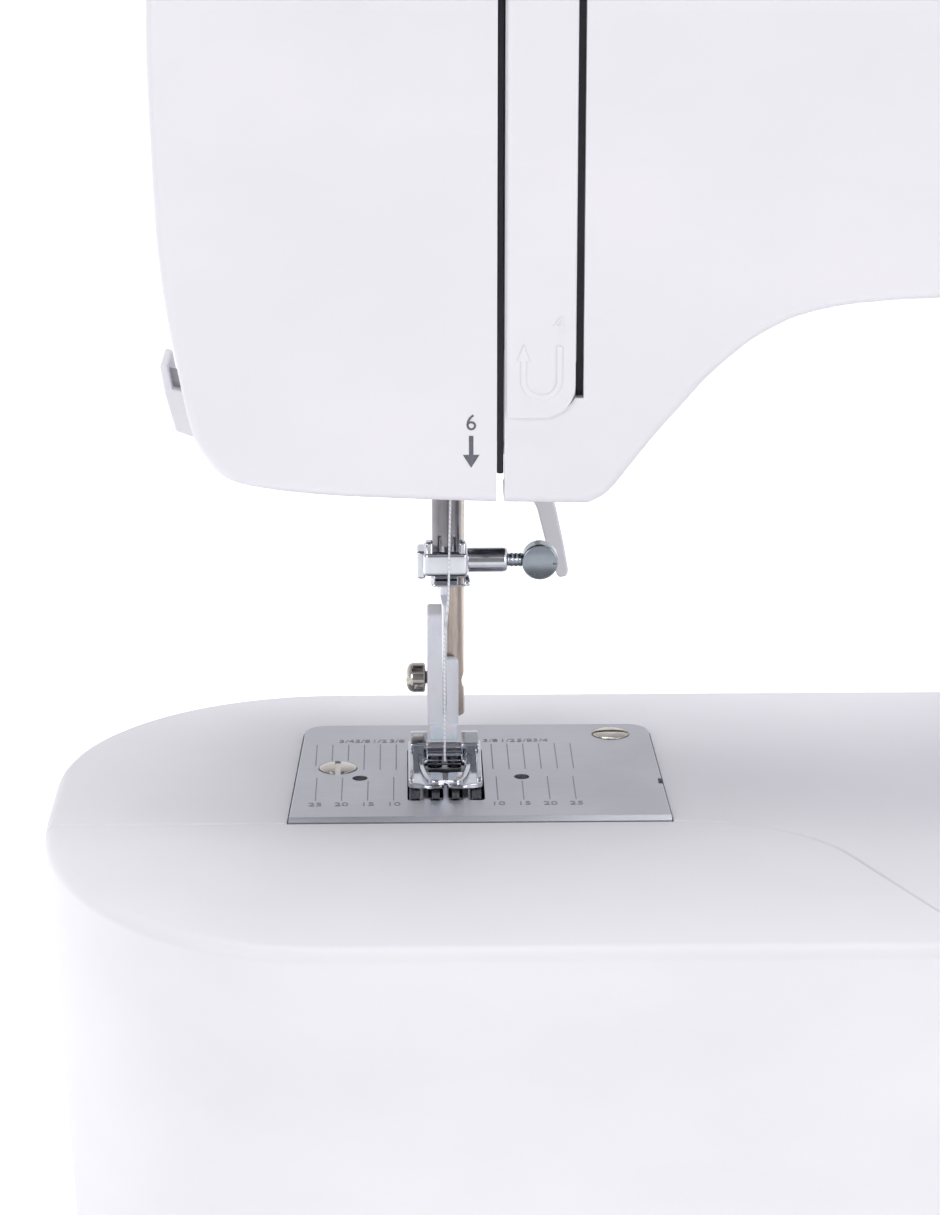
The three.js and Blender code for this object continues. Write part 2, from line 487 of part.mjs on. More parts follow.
// ---- controls -----------------------------------------------------------------------------------
function dial(name, r, depth, x, z) {
  const front = HEAD_FRONT - GAP;
  const knob = joined(rod("y", r, front - depth * 0.4, front, x, z, 32), rod("y", r * 0.8, front - depth, front, x, z, 28),
    box(x - 2.2, x + 2.2, front - depth - 2.5, front - depth + 1, z - r * 0.75, z + r * 0.75),
    rod("y", 5, front - 1, HEAD_FRONT + 8, x, z, 16));
  add(name, knob, GREY());
}

function controls() {
  dial("pattern_dial", 24, 9, 218, 120);
  dial("stitch_length_dial", 15, 7, 218, 68);
  add("tension_dial", rod("x", 13.5, -18, -10, -30, 172, 32), GREY());
  const lever = joined(prismYZ([[-52, 24], [-50, 22], [-30, 25], [-12, 26], [-12, 34], [-30, 33], [-52, 36]], 206, 230),
    rod("x", 4.5, 206, 230, -12, 30, 16));
  add("reverse_lever", lever, GREY());
  const swing = [[276, -22], ...arc(276, -22, 9, 9, -42, 42, 6)];
  add("power_switch", prismXZ(swing, 23, 39), DARK());
  const inlet = cut(joined(box(266, 282.4, 20.4, 43.6, -59.6, -36.4), box(283.3, 284.8, 18, 46, -62, -34),
    box(282, 284, 22, 42, -58, -38)), box(269, 290, 24, 40, -56, -40));
  add("power_inlet", joined(inlet, ...[28, 34.6].map((y) => box(268, 280, y, y + 1.4, -51, -45))), DARK());
}

function topFittings() {
  const grip = cut(box(60, 190, -4, 37.4, 205.4, 213.4), box(68.5, 181.5, 9, 50, 200, 220));
  const pins = [rod("x", 2, 57, 61, 34, 209.5, 12), rod("x", 2, 189, 193, 34, 209.5, 12)];
  add("carry_handle", joined(grip, ...pins), WHITE());
  const [x0, x1, y0, y1] = SPOOL_WELL;
  const [cy, cz] = [(y0 + y1) / 2, 197];
  add("spool_pin", joined(rod("x", 2.2, x0 + 2, x1 - GAP, cy, cz, 14), rod("x", 6, x1 - 4, x1 - GAP, cy, cz, 18)), GREY());
  const flanges = [rod("x", 11.5, 211, 213, cy, cz, 24), rod("x", 11.5, 253, 255, cy, cz, 24)];
  const wound = rod("x", 10.2, 212.5, 253.5, cy, cz, 24);
  add("thread_spool", cut(joined(wound, ...flanges), rod("x", 2.6, 200, 260, cy, cz, 14)), THREAD());
  add("winder_base", box(236, 252, -24, -12, 197, 200.6), GREY());
  const spindle = turned([[0, 201], [2.6, 201], [2.6, 206.5], [6, 206.5], [6, 208], [2.6, 208], [2.6, 220], [1.6, 222.5], [0, 222.5]],
    245, -18, 18);
  add("winder_spindle", spindle, GREY());
}

// ---- assembly -----------------------------------------------------------------------------------
base();
bedCover();
bobbinDoor();
extensionTable();
needlePlate();
feedMechanism();
hookMechanism();
drive();
handwheel();
armFrame();
needleBarGroup();
takeUp();
presserGroup();
footGroup();
threads();
covers();
threadCutter();
channelCover();
controls();
topFittings();

machine.position.set(-(BED_LEFT + WHEEL_RIGHT) / 2, -(BED_FRONT + BED_BACK) / 2, BED_HEIGHT);
export default machine;
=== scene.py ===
import json
import math

import bmesh
import bpy
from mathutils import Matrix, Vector

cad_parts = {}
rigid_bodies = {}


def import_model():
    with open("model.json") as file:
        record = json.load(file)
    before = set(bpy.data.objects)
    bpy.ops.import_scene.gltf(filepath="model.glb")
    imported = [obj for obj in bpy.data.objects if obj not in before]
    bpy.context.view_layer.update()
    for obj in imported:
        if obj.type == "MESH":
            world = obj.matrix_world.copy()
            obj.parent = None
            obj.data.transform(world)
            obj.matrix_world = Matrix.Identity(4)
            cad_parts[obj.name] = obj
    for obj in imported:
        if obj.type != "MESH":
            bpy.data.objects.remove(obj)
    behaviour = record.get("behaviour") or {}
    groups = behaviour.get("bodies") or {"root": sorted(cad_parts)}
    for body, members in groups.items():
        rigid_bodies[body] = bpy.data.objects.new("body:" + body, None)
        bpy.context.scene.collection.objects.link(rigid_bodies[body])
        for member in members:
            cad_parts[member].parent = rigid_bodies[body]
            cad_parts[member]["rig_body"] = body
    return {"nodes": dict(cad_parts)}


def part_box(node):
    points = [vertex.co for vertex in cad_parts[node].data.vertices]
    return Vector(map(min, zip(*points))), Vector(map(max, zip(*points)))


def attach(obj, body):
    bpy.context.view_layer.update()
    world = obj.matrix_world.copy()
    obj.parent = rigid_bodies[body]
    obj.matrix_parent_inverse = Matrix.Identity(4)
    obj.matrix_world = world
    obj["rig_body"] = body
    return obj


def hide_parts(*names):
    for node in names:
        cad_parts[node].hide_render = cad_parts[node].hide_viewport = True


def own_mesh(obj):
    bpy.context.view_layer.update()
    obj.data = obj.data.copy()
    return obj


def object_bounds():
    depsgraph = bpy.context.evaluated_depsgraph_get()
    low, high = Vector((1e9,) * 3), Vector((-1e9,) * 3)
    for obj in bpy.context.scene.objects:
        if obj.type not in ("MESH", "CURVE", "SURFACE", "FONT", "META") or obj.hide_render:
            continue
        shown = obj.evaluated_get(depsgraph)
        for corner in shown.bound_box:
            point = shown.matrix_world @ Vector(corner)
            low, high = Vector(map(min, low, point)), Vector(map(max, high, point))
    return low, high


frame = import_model()
CAD_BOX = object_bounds()
MM = 0.001

# Lengths are millimetres from the needle hole on the bed: X right, Y back, Z up from the bed's top.
NEEDLE_LOW, NEEDLE_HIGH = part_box("needle")
BED_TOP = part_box("bed_cover")[1].z
HOLE = Vector(((NEEDLE_LOW.x + NEEDLE_HIGH.x) / 2, (NEEDLE_LOW.y + NEEDLE_HIGH.y) / 2, BED_TOP))
GAP = 0.3
WALL = 2.5


def at(x, y, z):
    return HOLE + Vector((x, y, z)) * MM


def linear(hex_colour):
    values = [int(hex_colour[i:i + 2], 16) / 255 for i in (1, 3, 5)]
    return [v / 12.92 if v <= 0.04045 else ((v + 0.055) / 1.055) ** 2.4 for v in values] + [1]


def put(tree, kind, settings=None, **links):
    """Adds a shader node. Settings are its properties or socket values; links are socket names or places."""
    made = tree.nodes.new(kind)
    for key, value in (settings or {}).items():
        if isinstance(key, int) or key in made.inputs:
            made.inputs[key].default_value = value
        else:
            setattr(made, key, value)
    for key, source in links.items():
        place = int(key[1:]) if key[0] == "_" else key.replace("_", " ")
        tree.links.new(source, made.inputs[place])
    return made


def ramp(tree, source, stops):
    made = put(tree, "ShaderNodeValToRGB", _0=source)
    elements = made.color_ramp.elements
    while len(elements) < len(stops):
        elements.new(0.5)
    for element, (place, colour) in zip(elements, stops):
        element.position = place
        element.color = linear(colour)
    return made.outputs[0]


def blank(name):
    material = bpy.data.materials.new(name)
    material.use_nodes = True
    tree = material.node_tree
    tree.nodes.clear()
    place = put(tree, "ShaderNodeTexCoord").outputs["Object"]
    return material, tree, place


def close(material, tree, settings, **links):
    shader = put(tree, "ShaderNodeBsdfPrincipled", settings, **links)
    put(tree, "ShaderNodeOutputMaterial", _0=shader.outputs[0])
    return material


def noise(tree, place, size_mm, detail=2, roughness=0.5, stretch=None):
    """Noise whose features are about size_mm across."""
    if stretch:
        place = put(tree, "ShaderNodeMapping", {"Scale": stretch}, Vector=place).outputs[0]
    return put(tree, "ShaderNodeTexNoise", {"Scale": 1 / (size_mm * MM), "Detail": detail,
                                            "Roughness": roughness},
               Vector=place).outputs[0]


def bump(tree, height, strength, depth_mm):
    settings = {"Strength": strength, "Distance": depth_mm * MM}
    return put(tree, "ShaderNodeBump", settings, Height=height).outputs[0]


def spread(tree, source, low, high):
    return put(tree, "ShaderNodeMapRange", {"To Min": low, "To Max": high}, Value=source).outputs[0]


GRAIN_DEPTH_MM = 0.012


def moulded(name, light, dark, grain_mm=0.45, gloss=0.4):
    """Injection-moulded plastic: a fine spark-eroded grain, faint flow marks and slightly uneven gloss.
    The real grain is about 0.1 mm; it is drawn coarser so that it shows."""
    material, tree, place = blank(name)
    flow = noise(tree, place, 60, 3, 0.55, (1, 1, 1.8))
    grain = noise(tree, place, grain_mm, 2, 0.6)
    wear = noise(tree, place, 9, 4, 0.6)
    colour = ramp(tree, flow, [(0.3, dark), (0.7, light)])
    rough = spread(tree, wear, gloss - 0.05, gloss + 0.06)
    return close(material, tree, {"IOR": 1.5, "Specular IOR Level": 0.45}, Base_Color=colour, Roughness=rough,
                 Normal=bump(tree, grain, 0.35, GRAIN_DEPTH_MM))


def polished(name, light, dark, gloss=0.07):
    """Electroplated metal: mirror bright, with a faint ripple and a few dull spots."""
    material, tree, place = blank(name)
    cloud = noise(tree, place, 5, 3)
    ripple = noise(tree, place, 3.0, 2)
    spots = noise(tree, place, 0.8, 4, 0.7)
    return close(material, tree, {"Metallic": 1.0}, Base_Color=ramp(tree, cloud, [(0.3, dark), (0.7, light)]),
                 Roughness=spread(tree, spots, gloss * 0.5, gloss * 2.2),
                 Normal=bump(tree, ripple, 0.12, 0.05))


def brushed(name, light, dark, along=(1, 12, 12), gloss=0.32, line_mm=0.35):
    """Ground or brushed steel: long fine scratches in one direction, duller where they are deeper."""
    material, tree, place = blank(name)
    lines = noise(tree, place, line_mm * 12, 3, 0.65, along)
    cloud = noise(tree, place, 22, 2)
    mixed = put(tree, "ShaderNodeMath", {"operation": "ADD"}, _0=lines, _1=cloud).outputs[0]
    half = put(tree, "ShaderNodeMath", {"operation": "MULTIPLY", 1: 0.5}, _0=mixed).outputs[0]
    return close(material, tree, {"Metallic": 1.0}, Base_Color=ramp(tree, half,
                                                                    [(0.35, dark), (0.65, light)]),
                 Roughness=spread(tree, lines, gloss - 0.06, gloss + 0.1),
                 Normal=bump(tree, lines, 0.18, 0.02))


def cast(name, light, dark):
    """Die-cast aluminium: a dull skin with pits and slightly darker patches."""
    material, tree, place = blank(name)
    skin = noise(tree, place, 1.6, 4, 0.65)
    patch = noise(tree, place, 18, 2)
    return close(material, tree, {"Metallic": 0.9}, Base_Color=ramp(tree, patch, [(0.3, dark), (0.7, light)]),
                 Roughness=spread(tree, skin, 0.45, 0.68), Normal=bump(tree, skin, 0.4, 0.08))


def rubber(name):
    """Moulded black rubber: matt, with a dusty mottling."""
    material, tree, place = blank(name)
    dust = noise(tree, place, 4, 5, 0.7)
    return close(material, tree, {"IOR": 1.5}, Base_Color=ramp(tree, dust,
                                                               [(0.35, "#1f1f21"), (0.75, "#3a3a3d")]),
                 Roughness=spread(tree, dust, 0.7, 0.92), Normal=bump(tree, dust, 0.3, 0.05))


def nylon(name):
    """Milky nylon: light passes a little way in, with a faintly blue body and a soft gloss."""
    material, tree, place = blank(name)
    cloud = noise(tree, place, 7, 3)
    grain = noise(tree, place, 0.5, 2)
    settings = {"IOR": 1.53, "Subsurface Weight": 0.5, "Subsurface Scale": 2.0 * MM,
                "Transmission Weight": 0.12}
    return close(material, tree, settings, Base_Color=ramp(tree, cloud, [(0.3, "#e2e6f3"), (0.7, "#eff1f9")]),
                 Roughness=spread(tree, cloud, 0.3, 0.42), Normal=bump(tree, grain, 0.15, 0.01))


TWIST_PITCH_MM = 0.5


def sewing_thread(name):
    """Spun polyester: two plies twisted together, with a fuzzy sheen."""
    material, tree, place = blank(name)
    twist = put(tree, "ShaderNodeTexWave", {"Scale": 0.35 / (TWIST_PITCH_MM * MM), "Distortion": 0.6,
                                            "bands_direction": "DIAGONAL"},
                Vector=place).outputs[1]
    settings = {"IOR": 1.5, "Sheen Weight": 0.3, "Roughness": 0.75}
    # Painted shade: the base colour is darker in the grooves between the plies, following the same twist wave
    # as the bump.
    return close(material, tree, settings, Base_Color=ramp(tree, twist, [(0.1, "#d9dbe4"), (0.6, "#fafafd")]),
                 Normal=bump(tree, twist, 0.4, 0.05))


def printed(name, colour):
    """Pad-printed ink: thin and matt, a little uneven in its cover."""
    material, tree, place = blank(name)
    cover = noise(tree, place, 0.6, 3)
    darker = "#" + "".join(f"{max(0, int(colour[i:i + 2], 16) - 14):02x}" for i in (1, 3, 5))
    return close(material, tree, {"IOR": 1.5, "Roughness": 0.6},
                 Base_Color=ramp(tree, cover, [(0.3, darker), (0.7, colour)]))


WHITE_ABS = moulded("white_abs_moulding", "#eceaef", "#e6e5ea")
# Painted shade: the bed is the same white plastic as the head, coloured a little darker to stand in for its
# top lying in less light.
PAINTED_SHADE_BED_ABS = moulded("bed_abs_moulding_painted_shade", "#e9e8ec", "#e3e2e7", grain_mm=0.5, gloss=0.46)
GREY_ABS = moulded("grey_abs_moulding", "#c3c4cb", "#b6b7bf", gloss=0.42)
DARK_ABS = moulded("black_abs_moulding", "#2c2c30", "#222226", gloss=0.45)
# Painted shadow: a dark grey that stands in for the shade behind the thread slots.
SHADOW_ABS = moulded("painted_shadow_channel_moulding", "#48474b", "#3a393d", gloss=0.5)
CHROME = polished("chrome_plate", "#dfe1e6", "#c9ccd4")
NICKEL = polished("bright_nickel_plate", "#d8d3cb", "#c2bbb2", gloss=0.1)
BRIGHT_STEEL = polished("polished_steel_screw", "#a3aab1", "#8f979f", gloss=0.12)
HARD_STEEL = polished("hardened_needle_bar_steel", "#8b898c", "#737174", gloss=0.14)
DULL_NICKEL = brushed("worn_nickel_bar", "#cdc2b7", "#ada196", along=(10, 10, 1), gloss=0.2, line_mm=0.2)
PLATE_STEEL = brushed("satin_needle_plate_steel", "#cacbd1", "#bcbdc4", along=(1, 10, 10), gloss=0.33)
GROUND_STEEL = brushed("ground_steel_shafting", "#b9bac0", "#9c9da4")
FEED_STEEL = brushed("hardened_feed_steel", "#a9abb2", "#85878f", along=(8, 1, 8), gloss=0.24)
CAST_ALLOY = cast("die_cast_aluminium", "#b9bbc0", "#a3a5aa")
RUBBER = rubber("moulded_rubber")
NYLON = nylon("milky_nylon")
THREAD = sewing_thread("spun_polyester_thread")
INK = printed("grey_printing_ink", "#6b6c76")
GRAVING = printed("shallow_engraving", "#9b9da6")


# ---- shapes -------------------------------------------------------------------------------------
PLANES = {
    "xy": lambda u, v, w: (u, v, w),
    "xz": lambda u, v, w: (u, w, v),
    "yz": lambda u, v, w: (w, u, v),
}


def arc(cu, cv, ru, rv, start, end, steps):
    turn = [math.radians(start + (end - start) * i / steps) for i in range(steps + 1)]
    return [(cu + ru * math.cos(t), cv + rv * math.sin(t)) for t in turn]


def to_edge(point, points):
    """How far a point is from an outline."""
    nearest = 1e9
    for (ax, ay), (bx, by) in zip(points, points[1:] + points[:1]):
        dx, dy = bx - ax, by - ay
        along = ((point[0] - ax) * dx + (point[1] - ay) * dy) / max(dx * dx + dy * dy, 1e-12)
        along = min(1, max(0, along))
        nearest = min(nearest, math.hypot(point[0] - ax - along * dx, point[1] - ay - along * dy))
    return nearest


def inset(points, distance):
    """An anticlockwise outline moved inwards. A point that would cross joins the nearest good one."""
    if not distance:
        return list(points)
    moved = []
    for i, here in enumerate(points):
        before, after = Vector(points[i - 1]), Vector(points[(i + 1) % len(points)])
        here = Vector(here)
        a, b = (here - before).normalized(), (after - here).normalized()
        normal = Vector((-(a.y + b.y), a.x + b.x)).normalized()
        reach = distance / max(0.35, normal.dot(Vector((-a.y, a.x))))
        moved.append(tuple(here + normal * reach))
    if distance < 0:
        return moved
    clear = [to_edge(point, points) > distance * 0.985 for point in moved]
    if not any(clear):
        return moved
    n = len(moved)
    for i in range(n):
        if not clear[i]:
            step = next(k for k in range(1, n) if clear[(i + k) % n] or clear[i - k])
            moved[i] = moved[(i + step) % n] if clear[(i + step) % n] else moved[i - step]
    return moved


def curved(points, steps=6):
    """A smooth open line through the points (Catmull-Rom)."""
    line = []
    padded = [points[0]] + list(points) + [points[-1]]
    for i in range(len(points) - 1):
        p = [Vector(q) for q in padded[i:i + 4]]
        for k in range(steps):
            t = k / steps
            line.append(tuple(0.5 * (2 * p[1] + (p[2] - p[0]) * t
                                     + (2 * p[0] - 5 * p[1] + 4 * p[2] - p[3]) * t * t
                                     + (3 * p[1] - p[0] - 3 * p[2] + p[3]) * t ** 3)))
    return line + [tuple(points[-1])]


def rounded(corners, steps=5):
    """An outline of (u, v, radius) corners with each corner made an arc."""
    line = []
    for i, (u, v, radius) in enumerate(corners):
        here = Vector((u, v))
        a = (Vector(corners[i - 1][:2]) - here).normalized()
        b = (Vector(corners[(i + 1) % len(corners)][:2]) - here).normalized()
        if radius <= 0:
            line.append((u, v))
            continue
        half = a.angle(b) / 2
        shortest = min((Vector(corners[i - 1][:2]) - here).length,
                       (Vector(corners[(i + 1) % len(corners)][:2]) - here).length)
        radius = min(radius, shortest * 0.48 * math.tan(half))
        start, end = here + a * radius / math.tan(half), here + b * radius / math.tan(half)
        centre = here + (a + b).normalized() * radius / math.sin(half)
        first, last = start - centre, end - centre
        sweep = first.angle_signed(last)
        for k in range(steps + 1):
            angle = -sweep * k / steps
            line.append(tuple(centre + Vector((first.x * math.cos(angle) - first.y * math.sin(angle),
                                               first.x * math.sin(angle) + first.y * math.cos(angle)))))
    return line


def thing(name, points, faces):
    """A mesh object from points in millimetres, closed up and facing outwards."""
    data = bpy.data.meshes.new(name)
    data.from_pydata([at(*p) for p in points], [], faces)
    tidy(data)
    made = bpy.data.objects.new(name, data)
    bpy.context.scene.collection.objects.link(made)
    return made


def tidy(data, merge=2e-6):
    bm = bmesh.new()
    bm.from_mesh(data)
    bmesh.ops.remove_doubles(bm, verts=bm.verts, dist=merge)
    bmesh.ops.dissolve_degenerate(bm, edges=bm.edges, dist=1e-7)
    bmesh.ops.recalc_face_normals(bm, faces=bm.faces)
    bm.to_mesh(data)
    bm.free()


def loft(name, loops, closed=False):
    n = len(loops[0])
    points = [p for loop in loops for p in loop]
    rows = len(loops) if closed else len(loops) - 1
    faces = [(a * n + i, a * n + (i + 1) % n, (a + 1) % len(loops) * n + (i + 1) % n,
              (a + 1) % len(loops) * n + i)
             for a in range(rows) for i in range(n)]
    if not closed:
        faces += [tuple(reversed(range(n))), tuple(range(len(points) - n, len(points)))]
    return thing(name, points, faces)


def anticlockwise(points):
    area = sum(a[0] * b[1] - b[0] * a[1] for a, b in zip(points, points[1:] + points[:1]))
    return points if area > 0 else points[::-1]


def slab(name, outline, plane, low, high, round_low=0.3, round_high=0.3, steps=3, draft=0):
    """An outline raised from low to high, its two rims rounded. Draft pulls the low end in by that much."""
    place = PLANES[plane]
    outline = anticlockwise(outline)
    quarter = [math.pi / 2 * k / steps for k in range(steps + 1)]
    rings = [(round_low * (1 - math.sin(t)) + draft, low + round_low * (1 - math.cos(t))) for t in quarter]
    rings += [(round_high * (1 - math.cos(t)), high - round_high * (1 - math.sin(t))) for t in quarter]
    return loft(name, [[place(u, v, w) for u, v in inset(outline, d)] for d, w in rings])


def block(name, low, high, radius=0.3, steps=2, plane="xy"):
    """A box whose upright edges and rims are all rounded."""
    order = {"xy": (0, 1, 2), "xz": (0, 2, 1), "yz": (1, 2, 0)}[plane]
    u, v, w = order
    corners = [(low[u], low[v]), (high[u], low[v]), (high[u], high[v]), (low[u], high[v])]
    outline = rounded([(a, b, radius * 1.15) for a, b in corners], steps + 1)
    return slab(name, outline, plane, low[w], high[w], radius, radius, steps)


def lathe(name, profile, axis, centre, steps=48):
    """A profile of (radius, distance) turned about an axis. One that stays off the axis closes on itself."""
    turned = {
        "x": lambda r, w, t: (centre[0] + w, centre[1] + r * math.cos(t), centre[2] + r * math.sin(t)),
        "y": lambda r, w, t: (centre[0] + r * math.cos(t), centre[1] + w, centre[2] + r * math.sin(t)),
        "z": lambda r, w, t: (centre[0] + r * math.cos(t), centre[1] + r * math.sin(t), centre[2] + w),
    }[axis]
    angles = [2 * math.pi * k / steps for k in range(steps)]
    ring = profile[0][0] > 0 and profile[-1][0] > 0
    return loft(name, [[turned(max(r, 0.0005), w, t) for t in angles] for r, w in profile], closed=ring)


def rod(name, axis, radius, low, high, centre, edge=0.25, steps=40):
    """A round bar with a small chamfer, from low to high. Centre is its place across the axis."""
    spots = {"x": (0, *centre), "y": (centre[0], 0, centre[1]), "z": (*centre, 0)}[axis]
    edge = min(edge, radius * 0.6, (high - low) / 3)
    profile = [(0, low), (radius - edge, low), (radius - edge * 0.3, low + edge * 0.3), (radius, low + edge),
               (radius, high - edge), (radius - edge * 0.3, high - edge * 0.3), (radius - edge, high),
               (0, high)]
    return lathe(name, profile, axis, spots, steps)


def tube(name, points, radius, sides=10, steps=8):
    """A round thread along a smooth line through the points."""
    line = [Vector(p) for p in curved(points, steps)]
    loops = []
    side = Vector((1, 0, 0))
    for i, here in enumerate(line):
        ahead = (line[min(i + 1, len(line) - 1)] - line[max(i - 1, 0)]).normalized()
        side = (side - ahead * side.dot(ahead)).normalized()
        up = ahead.cross(side)
        loops.append([tuple(here + (side * math.cos(t) + up * math.sin(t)) * radius)
                      for t in (2 * math.pi * k / sides for k in range(sides))])
    return loft(name, loops)


def plain(obj):
    """The object with its modifiers worked out, as a plain mesh."""
    bpy.context.view_layer.update()
    source = obj.evaluated_get(bpy.context.evaluated_depsgraph_get())
    data = bpy.data.meshes.new_from_object(source)
    obj.modifiers.clear()
    old = obj.data
    obj.data = data
    if old.users == 0:
        bpy.data.meshes.remove(old)
    return obj


def carve(obj, cutters, how="DIFFERENCE"):
    """Cuts, joins or keeps the common part with each cutter, and removes the cutters."""
    for cutter in cutters:
        step = obj.modifiers.new("carve", "BOOLEAN")
        step.operation = how
        step.solver = "MANIFOLD"
        step.object = cutter
        plain(obj)
        tidy(obj.data, 1e-6)
        bpy.data.objects.remove(cutter)
    return obj


def add(obj, *others):
    return carve(obj, others, "UNION")


def merged(name, objects):
    """Several separate bodies as one mesh."""
    bm = bmesh.new()
    for one in objects:
        bm.from_mesh(one.data)
    data = bpy.data.meshes.new(name)
    bm.to_mesh(data)
    bm.free()
    for one in objects:
        bpy.data.objects.remove(one)
    made = bpy.data.objects.new(name, data)
    bpy.context.scene.collection.objects.link(made)
    return made


def dress(obj, body, slot, *materials, stands_for=(), edge=0.0, sharp=38, segments=2):
    """Finishes a piece: soft edges, shading, its material, its body and the CAD nodes that it stands for."""
    if edge:
        bevel = obj.modifiers.new("edge", "BEVEL")
        bevel.width = edge * MM
        bevel.segments = segments
        bevel.limit_method = "ANGLE"
        bevel.angle_limit = math.radians(sharp)
        bevel.use_clamp_overlap = True
        plain(obj)
    obj.data.polygons.foreach_set("use_smooth", [True] * len(obj.data.polygons))
    obj.data.set_sharp_from_angle(angle=math.radians(sharp))
    even = obj.modifiers.new("even", "WEIGHTED_NORMAL")
    even.keep_sharp = True
    plain(obj)
    obj.data.materials.clear()
    for material in materials:
        obj.data.materials.append(material)
    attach(obj, body)
    if stands_for:
        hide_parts(*stands_for)
    return obj


def cube(low, high):
    """A sharp box for cutting with."""
    corners = [(x, y, z) for z in (low[2], high[2]) for x, y in
               ((low[0], low[1]), (high[0], low[1]), (high[0], high[1]), (low[0], high[1]))]
    faces = [(3, 2, 1, 0), (4, 5, 6, 7), (0, 1, 5, 4), (1, 2, 6, 5), (2, 3, 7, 6), (3, 0, 4, 7)]
    return thing("cutter", corners, faces)


def lettering(name, words, size, x, y, z, flat="xz", depth=0.05, turn=0):
    """Plain numbers as a thin raised mesh, centred on a point, on an upright front or on a level top."""
    text = bpy.data.curves.new(name, "FONT")
    text.body = words
    text.size = size * MM
    text.align_x = "CENTER"
    text.align_y = "CENTER"
    text.extrude = depth * MM / 2
    text.resolution_u = 3
    carrier = bpy.data.objects.new(name, text)
    bpy.context.scene.collection.objects.link(carrier)
    bpy.context.view_layer.update()
    data = bpy.data.meshes.new_from_object(carrier.evaluated_get(bpy.context.evaluated_depsgraph_get()))
    bpy.data.objects.remove(carrier)
    c, s = math.cos(turn), math.sin(turn)
    for v in data.vertices:
        u, w, d = v.co.x * c - v.co.y * s, v.co.x * s + v.co.y * c, v.co.z
        v.co = at(x, y, z) + (Vector((u, -d, w)) if flat == "xz" else Vector((u, w, d)))
    tidy(data)
    made = bpy.data.objects.new(name, data)
    bpy.context.scene.collection.objects.link(made)
    return made


def repeating_tree():
    """Copies a shape along a line and turns each copy on, then gives the lot one material."""
    tree = bpy.data.node_groups.new("repeated_shape", "GeometryNodeTree")
    faces = tree.interface
    for name, kind in (("Shape", "NodeSocketObject"), ("Count", "NodeSocketInt"),
                       ("Start", "NodeSocketVector"),
                       ("Step", "NodeSocketVector"), ("Turn", "NodeSocketVector"), ("Seed", "NodeSocketInt"),
                       ("Unevenness", "NodeSocketFloat"), ("Material", "NodeSocketMaterial")):
        faces.new_socket(name=name, in_out="INPUT", socket_type=kind)
    faces.new_socket(name="Geometry", in_out="OUTPUT", socket_type="NodeSocketGeometry")
    given = tree.nodes.new("NodeGroupInput").outputs
    line = put(tree, "GeometryNodeMeshLine", {"mode": "OFFSET"}, Count=given["Count"],
               Start_Location=given["Start"],
               Offset=given["Step"])
    shape = put(tree, "GeometryNodeObjectInfo", None, Object=given["Shape"])
    place = tree.nodes.new("GeometryNodeInputIndex").outputs[0]
    jitter = put(tree, "FunctionNodeRandomValue", {"data_type": "FLOAT", 2: 0.0, 3: 0.0}, Seed=given["Seed"])
    tree.links.new(given["Unevenness"], jitter.inputs[3])
    uneven = put(tree, "ShaderNodeMath", {"operation": "ADD"}, _0=place, _1=jitter.outputs[1]).outputs[0]
    turned = put(tree, "ShaderNodeVectorMath", {"operation": "SCALE"}, _0=given["Turn"],
                 Scale=uneven).outputs[0]
    copies = put(tree, "GeometryNodeInstanceOnPoints", None, Points=line.outputs[0],
                 Instance=shape.outputs["Geometry"],
                 Rotation=turned)
    real = put(tree, "GeometryNodeRealizeInstances", None, _0=copies.outputs[0])
    painted = put(tree, "GeometryNodeSetMaterial", None, Geometry=real.outputs[0], Material=given["Material"])
    out = tree.nodes.new("NodeGroupOutput")
    tree.links.new(painted.outputs[0], out.inputs[0])
    return tree


REPEATED = repeating_tree()


def repeated(name, shape, count, material, step=(0, 0, 0), about=None, turn=(0, 0, 0)):
    """Copies of a shape: step is millimetres between them, or turn is degrees between them about a point."""
    start = at(*about) if about else Vector((0, 0, 0))
    for v in shape.data.vertices:
        v.co -= start
    holder = bpy.data.objects.new(name, bpy.data.meshes.new(name))
    bpy.context.scene.collection.objects.link(holder)
    copies = holder.modifiers.new("copies", "NODES")
    copies.node_group = REPEATED
    values = {"Shape": shape, "Count": count, "Start": start, "Step": Vector(step) * MM, "Seed": 7,
              "Unevenness": 0.0,
              "Turn": Vector([math.radians(t) for t in turn]), "Material": material}
    for item in REPEATED.interface.items_tree:
        if item.in_out == "INPUT":
            copies[item.identifier] = values[item.name]
    plain(holder)
    bpy.data.objects.remove(shape)
    return holder


def refined(node, slot, material, edge=0.25):
    """A CAD piece carried over with its edges softened and its round faces shaded smooth."""
    source = frame["nodes"][node]
    data = source.data.copy()
    tidy(data, 0.004 * MM)
    made = bpy.data.objects.new(node, data)
    bpy.context.scene.collection.objects.link(made)
    return dress(made, source["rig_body"], slot, material, stands_for=(node,), edge=edge, sharp=32)


# ---- outlines that several pieces share ----------------------------------------------------------
BED_OUTLINE = (arc(-22, -20, 54, 70, 180, 270, 28) + arc(271, -78, 12, 12, 270, 360, 8)
               + arc(271, 41, 12, 12, 0, 90, 8) + arc(-22, 0, 54, 53, 90, 180, 24))
HEAD_LEFT = curved([(-50.6, 164), (-52, 150), (-51.4, 120), (-50.5, 106), (-48.7, 93.6), (-45.9, 79),
                    (-43.3, 73.5),
                    (-39.8, 69.8), (-33.6, 67.9), (-19.2, 66.3), (8.7, 65.1)], 4)
UNDER_ARM = curved([(25.5, 64.8), (29.1, 66.8), (33.3, 72), (37.6, 77.5), (41.8, 82.3), (46, 87.2),
                    (50.2, 91.2),
                    (54.4, 94.6), (58.6, 97.1), (62.8, 99), (69.2, 100.6), (75.6, 101.4), (87.7, 102.1),
                    (125, 102.5)], 3)
